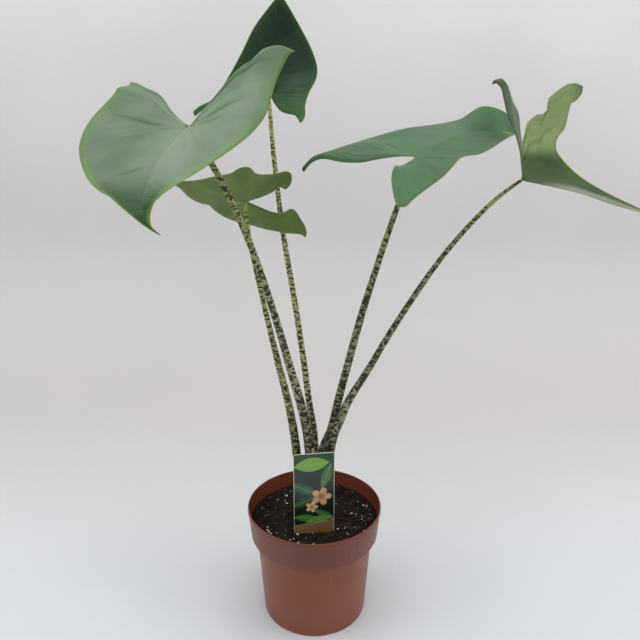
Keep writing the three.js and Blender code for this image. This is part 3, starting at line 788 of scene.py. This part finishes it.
# for each stalk, the skin's pale colour at the foot, halfway and near the leaf, how far its blotches spread,
# and how fine they are
STALK_TONES = {
    "front_left": ((122, 118, 102), (164, 162, 124), (148, 160, 74), 0.0, 290.0),
    "back": ((128, 124, 102), (182, 178, 128), (186, 184, 112), -0.02, 340.0),
    "right": ((116, 113, 98), (148, 148, 110), (148, 156, 80), 0.01, 290.0),
    "low_left": ((124, 120, 104), (172, 170, 122), (164, 184, 68), 0.0, 360.0),
    "far_right": ((116, 114, 100), (148, 148, 118), (146, 158, 84), 0.01, 300.0),
}
SKIN_PATCH = (122, 126, 92)
SKIN_GRAIN = (70, 58, 42)
SKIN_HEM = (176, 172, 138)
BLOTCH_FOOT = (38, 33, 24)
BLOTCH_LEAF = (50, 52, 30)


def stalk_skin(name):
    foot_tone, middle_tone, leaf_tone, spread, fineness = STALK_TONES[name]
    material, shader, tree = finish("stalk_skin_" + name, Specular_IOR_Level=0.3)
    straight = node(tree, "Attribute", attribute_name="straight")["Vector"]
    climb = node(tree, "Attribute", attribute_name="climb")["Fac"]
    hem = node(tree, "Attribute", attribute_name="hem")["Fac"]
    own_start = (len(name) * 0.01, 0.02, ord(name[0]) * 0.01)
    shift = node(tree, "Mapping", {"Vector": straight, "Location": own_start})[0]
    patches, grain = unevenness(shift, 60.0, 1400.0)

    across, _, run = node(tree, "SeparateXYZ", {0: shift})
    wander = node(tree, "TexNoise", {"Vector": shift, "Scale": 110.0, "Detail": 1.0})["Fac"]
    beat = plus(times(run, 2 * math.pi / STRIPE_PITCH), times(wander, 22.0))
    stripe = calc("SINE", plus(beat, times(across, 500.0)))
    banded = node(tree, "Mapping", {"Vector": shift, "Scale": (0.5, 0.5, 1)})[0]
    feeds = {"Vector": banded, "Scale": fineness, "Detail": 2.0, "Roughness": 0.6, "Distortion": 0.2}
    blotch = plus(node(tree, "TexNoise", feeds)["Fac"], times(stripe, 0.07))
    level = fade(climb, 0.12, 0.5, 0.575 + spread, 0.51 + spread)
    level = minus(level, fade(climb, 0.8, 0.99, 0.0, 0.07))
    dark_share = fade(minus(level, blotch), -0.025, 0.025)

    pale = tint(colour(foot_tone), colour(middle_tone), fade(climb, 0.05, 0.45))
    pale = tint(pale, colour(leaf_tone), fade(climb, 0.6, 0.98))
    pale = tint(pale, colour(SKIN_PATCH), patches, 0.25)
    dark = tint(colour(BLOTCH_FOOT), colour(BLOTCH_LEAF), fade(climb, 0.2, 0.95))
    skin = tint(pale, dark, dark_share)
    skin = tint(skin, colour(SKIN_GRAIN), grain, 0.15)
    skin = tint(skin, colour(SKIN_HEM), fade(hem, 0.25 * MM, 0.7 * MM, 0.75, 0.0))
    feed(shader, {"Base Color": skin, "Roughness": plus(times(grain, 0.12), 0.38)})
    relief(shader, plus(grain, dark_share), 0.12 * MM, 0.5)
    return material


def stalk_shape(name):
    (foot_x, foot_y, foot_radius), stations = STALKS[name]
    stops = [(foot_x, foot_y, height, foot_radius) for height in FOOT_HEIGHTS] + stations
    radii = [stop[3] for stop in stops]
    clasp_end = CLASP_STATIONS / (len(stops) - 1)

    def section(around, share):
        clasp = max(0.0, 1 - share / clasp_end)
        groove = 0.1 * clasp * math.exp(-((around - CLASP_HEM) / 0.28) ** 2)
        oval = 0.05 * clasp * math.cos(2 * (around - 0.6))
        radius = size_along(radii, share) * (1 + oval - groove)
        if share > STALK_END:
            radius *= STALK_END_SHARE
        return radius * math.cos(around), radius * math.sin(around)

    shape = drawn_tube([stop[:3] for stop in stops], STALK_SIDES, STALK_STEPS, section)
    climb = shape.verts.layers.float.new("climb")
    hem = shape.verts.layers.float.new("hem")
    straight = shape.verts.layers.float_vector["straight"]
    longest = max(corner[straight].z for corner in shape.verts)
    for corner in shape.verts:
        corner[climb] = corner[straight].z / longest
        angle = math.atan2(corner[straight].y, corner[straight].x) % (2 * math.pi)
        from_hem = abs(angle - CLASP_HEM) * corner[straight].xy.length
        corner[hem] = from_hem + max(0.0, corner[climb] - CLASP_TOP) * 0.1
    return shape


for name in STALKS:
    stalk = plant_piece(stalk_shape(name), "fleshy_stalk_" + name, "stalk", stalk_skin(name))
    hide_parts("stalk_" + name)

# Blades: five arrow-shaped leaf blades, each in two halves that meet along the midrib.
# They are thin and leathery, sunk along their side veins, and glossier above than below.
BLADES = {
    # places from the heart, where the stalk joins: the midrib, then each half's edges from sinus to tip
    "front_left": {
        "heart": (-117, -85, 622),
        "midrib": [(-15, -42, -20), (-22, -79, -40), (-24, -102, -58), (-20, -109, -70), (-8, -112, -81)],
        "port": ([(20, 27, 25), (46, 53, 55), (61, 68, 66), (68, 75, 73), (83, 86, 77)],
                 [(98, 97, 72), (92, 91, 68), (86, 83, 57), (79, 68, 41), (75, 49, 25), (70, 23, 8),
                  (59, 3, -6), (48, -14, -15), (17, -53, -35), (-1, -75, -45), (-11, -88, -52),
                  (-16, -96, -58), (-18, -104, -69), (-15, -109, -76)]),
        "starboard": ([(-19, 23, 13), (-36, 52, 28), (-55, 75, 35), (-69, 89, 40)],
                      [(-75, 92, 41), (-77, 90, 38), (-86, 80, 35), (-88, 76, 31), (-90, 67, 26),
                       (-105, 35, 3), (-104, -5, -18), (-85, -50, -41), (-70, -68, -50), (-57, -80, -54),
                       (-46, -90, -60), (-30, -103, -69), (-16, -110, -77)]),
    },
    "back": {
        "heart": (-57, 130, 655),
        "midrib": [(5, -14, 34), (12, -38, 65), (21, -74, 99)],
        "port": ([(-22, -4, -8), (-55, -18, -21), (-76, -30, -23)],
                 [(-85, -36, -30), (-87, -35, -24), (-71, -30, -15), (-61, -26, -7), (-49, -22, 9),
                  (-30, -22, 39), (-12, -34, 68), (6, -56, 86)]),
        "starboard": ([(9, -10, -16), (16, -17, -24), (24, -27, -27), (35, -41, -29)],
                      [(41, -52, -37), (45, -51, -33), (47, -49, -28), (47, -45, -17), (51, -41, -4),
                       (60, -36, 13), (61, -34, 25), (55, -34, 44), (42, -42, 68), (28, -62, 90)]),
    },
    "right": {
        "heart": (113, 10, 586),
        "midrib": [(23, 22, 10), (47, 50, 18), (92, 90, 22), (142, 130, 16)],
        "port": ([(-17, 3, 0), (-41, 5, -3), (-60, 8, -7), (-81, 11, -7), (-104, 16, -4), (-116, 19, -9)],
                 [(-124, 21, -19), (-126, 22, -16), (-122, 23, -11), (-104, 27, -3), (-78, 47, 7),
                  (-40, 70, 17), (-3, 88, 25), (37, 106, 29), (69, 118, 35), (83, 124, 43), (95, 129, 49),
                  (113, 134, 48), (133, 136, 38)]),
        "starboard": ([(-6, -8, -3), (-19, -26, -7), (-29, -46, -6), (-34, -70, -14), (-34, -101, -29)],
                      [(-32, -115, -36), (-25, -112, -37), (-16, -98, -33), (-7, -84, -29), (7, -66, -23),
                       (23, -44, -16), (35, -28, -8), (46, -14, 0), (69, 5, 2), (88, 30, 6),
                       (111, 70, 12)]),
    },
    "low_left": {
        "heart": (-81, 60, 529),
        "midrib": [(-13, 4, 0), (-28, 10, 4), (-64, 22, 13), (-102, 35, 21)],
        "port": ([(12, -6, 4), (24, -12, 9), (33, -17, 14), (37, -20, 19), (43, -24, 20)],
                 [(49, -27, 18), (53, -29, 22), (56, -30, 29), (55, -32, 37), (50, -32, 39),
                  (44, -33, 37), (29, -36, 36), (16, -35, 37), (10, -34, 43), (3, -33, 44), (-4, -31, 42),
                  (-12, -28, 37), (-36, -14, 31), (-54, -2, 26), (-78, 16, 22)]),
        "starboard": ([(15, 3, -6), (28, 5, -12), (39, 7, -15), (44, 8, -15), (53, 10, -10),
                       (59, 11, -13), (64, 13, -22), (70, 15, -32)],
                      [(72, 17, -40), (70, 18, -47), (66, 19, -44), (45, 22, -42), (20, 26, -38),
                       (3, 30, -34), (-19, 33, -29), (-34, 35, -23), (-45, 36, -15), (-50, 36, -10),
                       (-59, 36, -8), (-67, 37, -5), (-76, 37, 1), (-85, 36, 11)]),
    },
    "far_right": {
        "heart": (240, 40, 558),
        "midrib": [(36, 7, -8), (76, 15, -18), (117, 24, -32), (181, 38, -50)],
        "port": ([(-2, 4, 16), (-4, 10, 32), (-10, 16, 52), (-19, 21, 73), (-23, 26, 88), (-26, 29, 99),
                  (-30, 31, 104), (-33, 32, 105)],
                 [(-36, 32, 103), (-34, 34, 107), (-27, 38, 108), (-20, 43, 100), (-11, 50, 88),
                  (1, 59, 74), (3, 62, 63), (7, 65, 50), (15, 68, 37), (34, 70, 20), (61, 70, 0),
                  (92, 68, -15), (121, 64, -29), (148, 55, -40)]),
        "starboard": ([(-6, -10, 19), (-12, -26, 39), (-13, -36, 53), (-13, -43, 65), (-9, -49, 70),
                       (-5, -53, 74), (-2, -56, 73), (1, -59, 77), (-1, -67, 89), (3, -71, 94),
                       (10, -75, 100), (16, -78, 104), (22, -81, 103)],
                      [(27, -82, 101), (28, -80, 95), (24, -76, 87), (20, -74, 84), (20, -72, 80),
                       (20, -67, 67), (20, -63, 59), (16, -60, 52), (15, -57, 46), (17, -54, 37),
                       (28, -48, 25), (53, -33, 7), (88, -11, -11), (127, 12, -28)]),
    },
}
VEINS = 14
BLADE_COLUMNS = VEINS * 8
BLADE_RINGS = 26
MIDRIB_CHECKS = 50
LOBE_SHARE = 13 / 28
RING_CROWDING = 1.25
VEIN_SWEEP = 0.2
VEIN_LEAN = 0.5
VEIN_FURROW = 0.13
CREASE_DEPTH = 1.3
CREASE_HALF_WIDTH = 2.6
SWELL_HEIGHT = 0.9
FLAT_RIM = 9
UPPER_FACE = 0.5
SHEET_THICKNESS = 0.9
EDGE_THICKNESS = 0.5
RIB_THICKNESS = 2.4
RIB_HALF_WIDTH = 2.2
LOBE_RIB = 0.06
VEIN_GREEN = (150, 176, 110)
UNDER_RIB = (150, 170, 122)
MARGIN_PAINTED_BACKLIGHT = (104, 148, 44)
PALE_EDGE = (140, 150, 76)
LOBE_END = (70, 60, 52)
DRY_TIP = (98, 72, 48)
BACK_LOBES_PAINTED_LIGHT = (56, 102, 56)
BACK_TIP_PAINTED_SHADE = (30, 56, 36)
SUNLIT = (148, 170, 106)
SUNLIT_PALE = (172, 190, 128)
KEEL_PAINTED_LIGHT = (182, 188, 166)
PAINTED_SHEEN = (134, 148, 130)
PORT_PAINTED_SHEEN = (132, 150, 124)
TIP_PAINTED_SHADE = (10, 62, 0)
RUST = (146, 92, 34)
BladeTones = namedtuple("BladeTones", "upper under vein_depth glow port_end starboard_end vein_light rib")
# the upper and the under side's colour, how deep the side veins are sunk in millimetres, how strongly
# painted light shines through the margins, how dark the port and starboard lobes end, how far the veins
# show underneath, and the upper midrib's colour
BLADE_TONES = {
    # the front-left leaf's upper colour is lighter and greyer, in part as painted sheen
    "front_left": BladeTones((89, 117, 84), (118, 142, 84), 0.55, 0.6, 0.0, 0.0, 1.0, (146, 164, 126)),
    # the back leaf's upper colour is darkened as painted shade
    "back": BladeTones((37, 68, 42), (92, 120, 74), 0.5, 0.15, 0.0, 0.2, 1.0, (44, 70, 48)),
    "right": BladeTones((59, 100, 60), (112, 140, 82), 0.55, 0.1, 1.0, 0.2, 1.0, (44, 72, 48)),
    "low_left": BladeTones((62, 96, 58), (104, 124, 64), 0.5, 0.15, 0.3, 0.4, 0.6, (120, 150, 90)),
    "far_right": BladeTones((64, 84, 56), (84, 108, 62), 0.5, 0.2, 0.9, 0.45, 0.2, (120, 140, 100)),
}
# sharper creases along the veins: the half, the column at the rib, how far that shifts by the margin,
# where the crease starts and ends on the way out, and its depth, which also sets how dark its painted shade
# is
CREASES = {
    "front_left": [("starboard", 0.31, -0.12, 0.12, 0.9, 1.0), ("starboard", 0.62, 0.02, 0.12, 0.7, 0.9),
                   ("starboard", 0.42, 0.0, 0.3, 0.8, 0.5), ("starboard", 0.38, -0.08, 0.05, 0.5, 0.5),
                   ("port", 0.19, -0.01, 0.1, 0.85, 0.9), ("port", 0.25, 0.0, 0.05, 0.6, 0.6),
                   ("port", 0.05, 0.0, 0.2, 0.95, 0.8), ("port", 0.5, 0.02, 0.1, 0.5, 0.5)],
    "back": [("starboard", 0.4, 0.0, 0.2, 0.7, 0.5), ("starboard", 0.6, 0.0, 0.2, 0.7, 0.5)],
    "right": [("port", 0.425, 0.0, 0.1, 0.85, 0.7), ("port", 0.3, 0.0, 0.2, 0.9, 0.6),
              ("port", 0.1, 0.0, 0.1, 0.9, 0.8), ("starboard", 0.3, 0.0, 0.2, 0.9, 0.5),
              ("starboard", 0.42, 0.0, 0.2, 0.9, 0.5)],
    "low_left": [("starboard", 0.3, 0.0, 0.3, 0.8, 0.5), ("port", 0.3, 0.0, 0.2, 0.9, 0.5),
                 ("port", 0.6, 0.0, 0.1, 0.8, 0.5)],
    "far_right": [("starboard", 0.145, 0.05, 0.15, 0.98, 0.9), ("starboard", 0.02, 0.01, 0.5, 0.97, 1.0)],
}


def paced(place):
    """The same curve gone along at an even pace"""
    checks = 200
    spots = [place(check / checks) for check in range(checks + 1)]
    gone = [0.0]
    for here, ahead in zip(spots, spots[1:]):
        gone.append(gone[-1] + (ahead - here).length)

    def paced_place(share):
        target = min(max(share, 0), 1) * gone[-1]
        index = min(bisect.bisect_right(gone, target) - 1, checks - 1)
        return place((index + (target - gone[index]) / (gone[index + 1] - gone[index])) / checks)

    return paced_place


def blade_half(leaf, side):
    """The places on one half of a blade, by the share of the way round to the tip and out to the margin"""
    sinus_points, margin_points = leaf[side]
    midrib = curve_through([(0, 0, 0), *leaf["midrib"]])
    margin = paced(curve_through([*margin_points, leaf["midrib"][-1]]))
    sinus = paced(curve_through([(0, 0, 0), *sinus_points, margin_points[0]]))
    along_midrib = [midrib(check / MIDRIB_CHECKS) for check in range(MIDRIB_CHECKS + 1)]

    def beside_midrib(spot):
        gaps = [(check - spot).length for check in along_midrib]
        return gaps.index(min(gaps)) / MIDRIB_CHECKS

    hip = 0.0
    while beside_midrib(margin(hip)) < VEIN_SWEEP:
        hip += 0.01

    def place(column, outward):
        behind = max(0.0, 1 - column / LOBE_SHARE)
        ahead = max(0.0, (column - LOBE_SHARE) / (1 - LOBE_SHARE))
        start, end = midrib(ahead), margin(hip * (1 - behind) + (1 - hip) * ahead)
        return start.lerp(end, outward) + (sinus(outward) - outward * sinus(1)) * behind

    return place


def sheet_relief(name, side, column, outward, length, room, spot):
    """How far veins, creases and swells lift a blade off its plain curve at a place, in millimetres"""
    heart = Vector(BLADES[name]["heart"])
    from_rim = min(room, FLAT_RIM) * min(outward * length, FLAT_RIM) * min((1 - outward) * length, FLAT_RIM)
    phase = column * VEINS - VEIN_LEAN * outward
    aside = abs(phase - math.floor(phase) - 0.5)
    variety = abs(noise.noise(Vector((column * 11, outward * 3, 1 + len(side))) + heart * 0.01))
    furrow = (0.3 + 0.9 * variety) * (math.exp(-(aside / VEIN_FURROW) ** 2) - 0.25)
    height = SWELL_HEIGHT * noise.noise((heart + spot) * 0.035) - BLADE_TONES[name].vein_depth * furrow
    for crease_side, at_rib, shift, start, end, depth in CREASES[name]:
        if side == crease_side and start < outward < end:
            gap = (column - at_rib - shift * outward) * room * VEINS / CREASE_HALF_WIDTH
            along = math.sin(math.pi * (outward - start) / (end - start)) ** 2
            height -= CREASE_DEPTH * depth * along * math.exp(-gap * gap)
    return height * from_rim / FLAT_RIM ** 3


def sheet_weight(column, outward, length):
    """How thick a blade is at a place, as a share of its thickest, the midrib"""
    towards_tip = max(0.0, column - LOBE_SHARE)
    rib = math.exp(-(outward * length / RIB_HALF_WIDTH) ** 2) * max(0.0, 1 - towards_tip * 1.6)
    near_edge = min(1.0, (1 - outward) * length / 4)
    sheet = EDGE_THICKNESS + (SHEET_THICKNESS - EDGE_THICKNESS) * near_edge
    return (sheet + (RIB_THICKNESS - SHEET_THICKNESS) * rib) / RIB_THICKNESS


def blade_shape(name):
    """Both halves of a blade as one sheet; each corner keeps how far it is from the rib and the edge"""
    leaf = BLADES[name]
    heart = Vector(leaf["heart"])
    shape = bmesh.new()
    layout = shape.loops.layers.uv.new("veins")
    thickness = shape.verts.layers.deform.verify()
    from_rib, from_edge, vein_room, lift = [shape.verts.layers.float.new(attribute) for attribute
                                            in ("from_rib", "from_edge", "vein_room", "lift")]
    for side in ("port", "starboard"):
        place = blade_half(leaf, side)
        made = bmesh.ops.create_grid(shape, x_segments=BLADE_COLUMNS, y_segments=BLADE_RINGS, size=0.5,
                                     calc_uvs=True)["verts"]
        faces = list({face for corner in made for face in corner.link_faces})
        if side == "starboard":
            bmesh.ops.reverse_faces(shape, faces=faces)
        for corner in made:
            column, outward = corner.co.x + 0.5, (corner.co.y + 0.5) ** RING_CROWDING
            spot = place(column, outward)
            length = (place(column, 1) - place(column, 0)).length
            step = 0.004 if column < 0.99 else -0.004
            room = (place(column + step, outward) - spot).length / abs(step) / VEINS
            corner.co = (heart + spot) * MM
            corner[from_rib] = outward * length * MM
            corner[from_edge] = (1 - outward) * length * MM
            corner[vein_room] = room * MM
            corner[lift] = UPPER_FACE + sheet_relief(name, side, column, outward, length, room, spot)
            corner[thickness][0] = sheet_weight(column, outward, length)
        for face in faces:
            for loop in face.loops:
                column, ring = loop[layout].uv
                loop[layout].uv = (-column if side == "port" else column, ring ** RING_CROWDING)
    bmesh.ops.remove_doubles(shape, verts=shape.verts[:], dist=0.02 * MM)
    shape.normal_update()
    moves = [(corner, corner.normal * corner[lift] * MM) for corner in shape.verts]
    for corner, move in moves:
        corner.co += move
    return shape


def crease_group():
    """The shade in one crease: a dark line with a softer shadow on one side of it"""
    group, outside, result = new_group(
        "crease", [], ["Column", "Outward", "Room", "At Rib", "Shift", "Start", "End"], ["Shade"])
    middle = plus(outside["At Rib"], times(outside["Shift"], outside["Outward"]))
    gap = times(minus(outside["Column"], middle), outside["Room"], VEINS)
    line = fade(calc("ABSOLUTE", gap), 0.2 * MM, 2.2 * MM, 0.62, 0.0)
    beside = times(fade(gap, -0.6 * MM, 0.2 * MM), fade(gap, 0.2 * MM, 7 * MM, 0.5, 0.0))
    come = calc("DIVIDE", minus(outside["Outward"], outside["Start"]), 0.2, clamp=True)
    go = calc("DIVIDE", minus(outside["End"], outside["Outward"]), 0.3, clamp=True)
    feed(result, {"Shade": times(calc("MAXIMUM", line, beside), times(come, go))})
    return group


CREASE = crease_group()


def blade_places(tree):
    """Where a point lies on its blade, and the shared unevenness there"""
    place = node(tree, "TexCoord")["Object"]
    patches, grain = unevenness(place, 26.0, 900.0)
    signed, outward, _ = node(tree, "SeparateXYZ", {0: node(tree, "UVMap", uv_map="veins")[0]})
    from_rib, from_edge, room = [node(tree, "Attribute", attribute_name=attribute)["Fac"]
                                 for attribute in ("from_rib", "from_edge", "vein_room")]
    return SimpleNamespace(
        signed=signed, column=calc("ABSOLUTE", signed), on_port=calc("LESS_THAN", signed, 0.0),
        outward=outward, height=node(tree, "SeparateXYZ", {0: place})[2], from_rib=from_rib,
        from_edge=from_edge, room=room, patches=patches, grain=grain)


def vein_marks(at):
    """The side veins, and a fine net between them: 0 to 1 each"""

    def aside(phase):
        return calc("ABSOLUTE", minus(calc("FRACT", phase), 0.5))

    phase = minus(times(at.column, VEINS), times(at.outward, VEIN_LEAN))
    breadth = fade(at.outward, 0.0, 0.95, 0.6 * MM, 0.15 * MM)
    from_vein = minus(times(aside(phase), at.room), breadth)
    net_phase = plus(times(phase, 6.0), times(at.grain, 0.25))
    return fade(from_vein, -0.3 * MM, 0.4 * MM, 1.0, 0.0), fade(aside(net_phase), 0.0, 0.25, 1.0, 0.0)


def leaf_ground(at, name, upper, tone):
    """A blade's colour before its veins and margins, with the painted light, shade and sheen that single
    leaves get
    """
    ground = tint(colour(tone * 0.89), colour(tone * 1.07), at.patches)
    if name == "back" and upper:
        # painted light and shade: the lobes lighter, and darker towards the tip
        ground = tint(colour(BACK_LOBES_PAINTED_LIGHT), colour(BACK_TIP_PAINTED_SHADE), fade(at.column, 0.12, 0.72))
    ground = tint(ground, colour(tone * 0.8), at.grain, 0.16)
    if name == "far_right" and not upper:
        # painted light: above 583 mm the near half is painted lighter, as light shining through it, which
        # leaves a painted shadow of the far half below
        sunlit = tint(colour(SUNLIT), colour(SUNLIT_PALE), at.patches)
        ground = tint(ground, sunlit, fade(at.height, 583 * MM, 599 * MM, 0.0, 0.9))
        # painted light: near the keel the under side is painted pale, as light thrown up from the floor
        keel_light = times(fade(at.from_rib, 12 * MM, 30 * MM, 0.9, 0.0), fade(at.column, 0.5, 0.68))
        ground = tint(ground, colour(KEEL_PAINTED_LIGHT), keel_light)
    if name == "front_left" and upper:
        # painted sheen: a grey reflection painted near the midrib and over the port half, away from the tip
        sheen_reach = fade(at.column, 0.6, 0.8, 1.0, 0.0)
        sheen = times(fade(at.from_rib, 8 * MM, 45 * MM, 0.5, 0.16), sheen_reach)
        ground = tint(ground, colour(PAINTED_SHEEN), sheen)
        ground = tint(ground, colour(PORT_PAINTED_SHEEN), times(at.on_port, sheen_reach), 0.08)
        # painted shade: the tip, which turns down, is painted dark green
        ground = tint(ground, colour(TIP_PAINTED_SHADE), fade(at.column, 0.61, 0.82))
    return ground


def with_veins(at, base, veins, net, name, upper, tone):
    """Adds the net, the side veins, the ribs of the lobes and the midrib"""
    tones = BLADE_TONES[name]
    pale_vein = colour(tone * 0.62 + Vector(VEIN_GREEN) * 0.4)
    base = tint(base, pale_vein, net, 0.04)
    base = tint(base, pale_vein, veins, 0.12 if upper else 0.4 * tones.vein_light)
    from_lobe_rib = calc("ABSOLUTE", minus(at.column, LOBE_RIB))
    lobe_rib = fade(times(from_lobe_rib, VEINS, at.room), 0.3 * MM, 0.9 * MM, 1.0, 0.0)
    lobe_rib = times(lobe_rib, fade(at.outward, 0.2, 0.75, 0.5, 0.0))
    base = tint(base, colour(tones.rib), lobe_rib)
    midrib = fade(at.from_rib, 0.3 * MM, 1.0 * MM, 0.5 if upper else 0.8, 0.0)
    midrib = times(midrib, fade(at.column, 0.5, 0.7, 1.0, 0.05 if upper else 0.5))
    return tint(base, colour(tones.rib if upper else UNDER_RIB), midrib)


def with_creases(tree, at, base, name, upper, tone):
    """Adds the shade of the creases, which is weaker on the under side"""
    for crease_side, at_rib, shift, start, end, depth in CREASES[name]:
        column = times(at.signed, -1.0 if crease_side == "port" else 1.0)
        feeds = {"Column": column, "Outward": at.outward, "Room": at.room, "At Rib": at_rib, "Shift": shift,
                 "Start": start, "End": end}
        shade = node(tree, "Group", feeds, node_tree=CREASE)[0]
        # painted shade along each crease
        base = tint(base, colour(tone * 0.5), shade, depth * (1.0 if upper else 0.45))
    return base


def with_margins(tree, at, base, name, upper):
    """Adds the margins' painted backlight and pale line, and the dry ends of the lobes and the tip"""
    tones = BLADE_TONES[name]
    # painted light: a yellow-green glow painted inside the margins, as light shining through them
    glow = fade(at.from_edge, 1 * MM, 9 * MM, tones.glow, 0.0)
    base = tint(base, colour(MARGIN_PAINTED_BACKLIGHT), times(glow, fade(at.column, 0.3, 0.7, 0.6, 1.0)))
    pale_line = fade(at.from_edge, 0.3 * MM, 1.2 * MM, 0.6, 0.0)
    pale_line = times(pale_line, fade(at.column, 0.85, 0.95, 1.0, 0.0))
    base = tint(base, colour(PALE_EDGE), pale_line)
    if name == "front_left" and upper:
        rust = times(fade(at.column, 0.8, 0.93), fade(at.from_edge, 0.5 * MM, 3 * MM, 0.7, 0.0))
        base = tint(base, colour(RUST), rust)
    lobe_end = times(fade(at.column, 0.0, 0.09, 1.0, 0.0), fade(at.outward, 0.9, 0.99))
    darkness = node(tree, "Mix", {0: at.on_port, 2: tones.starboard_end, 3: tones.port_end})[0]
    base = tint(base, colour(LOBE_END), times(lobe_end, darkness))
    dryness = 0.9 if name == "front_left" else 0.25
    return tint(base, colour(DRY_TIP), fade(at.column, 0.955, 0.995, 0.0, dryness))


def blade_surface(name, upper):
    """The finish of one side of a blade"""
    tones = BLADE_TONES[name]
    tone = Vector(tones.upper if upper else tones.under)
    side = "upper" if upper else "under"
    material, shader, tree = finish("blade_" + side + "_" + name, Specular_IOR_Level=0.36 if upper else 0.3,
                                    Subsurface_Weight=0.1, Subsurface_Radius=(0.5, 1.0, 0.15),
                                    Subsurface_Scale=1.2 * MM)
    at = blade_places(tree)
    veins, net = vein_marks(at)
    base = leaf_ground(at, name, upper, tone)
    base = with_veins(at, base, veins, net, name, upper, tone)
    base = with_creases(tree, at, base, name, upper, tone)
    base = with_margins(tree, at, base, name, upper)
    gloss = plus(times(at.grain, 0.1), 0.33 if upper else 0.5)
    feed(shader, {"Base Color": base, "Roughness": gloss})
    vein_height = times(veins, -0.5 if upper else 1.2 * tones.vein_light)
    net_height = times(net, -0.12 if upper else 0.2 * tones.vein_light)
    relief(shader, plus(vein_height, times(at.grain, 0.35), net_height), 0.4 * MM, 0.5)
    return material


for name in BLADES:
    blade = plant_piece(blade_shape(name), "leaf_blade_" + name, "blade", blade_surface(name, True),
                        blade_surface(name, False))
    blade.vertex_groups.new(name="thickness")
    sheet = blade.modifiers.new("sheet", "SOLIDIFY")
    sheet.thickness = RIB_THICKNESS * MM
    sheet.offset = -1
    sheet.vertex_group = "thickness"
    sheet.material_offset = 1
    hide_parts("blade_" + name)
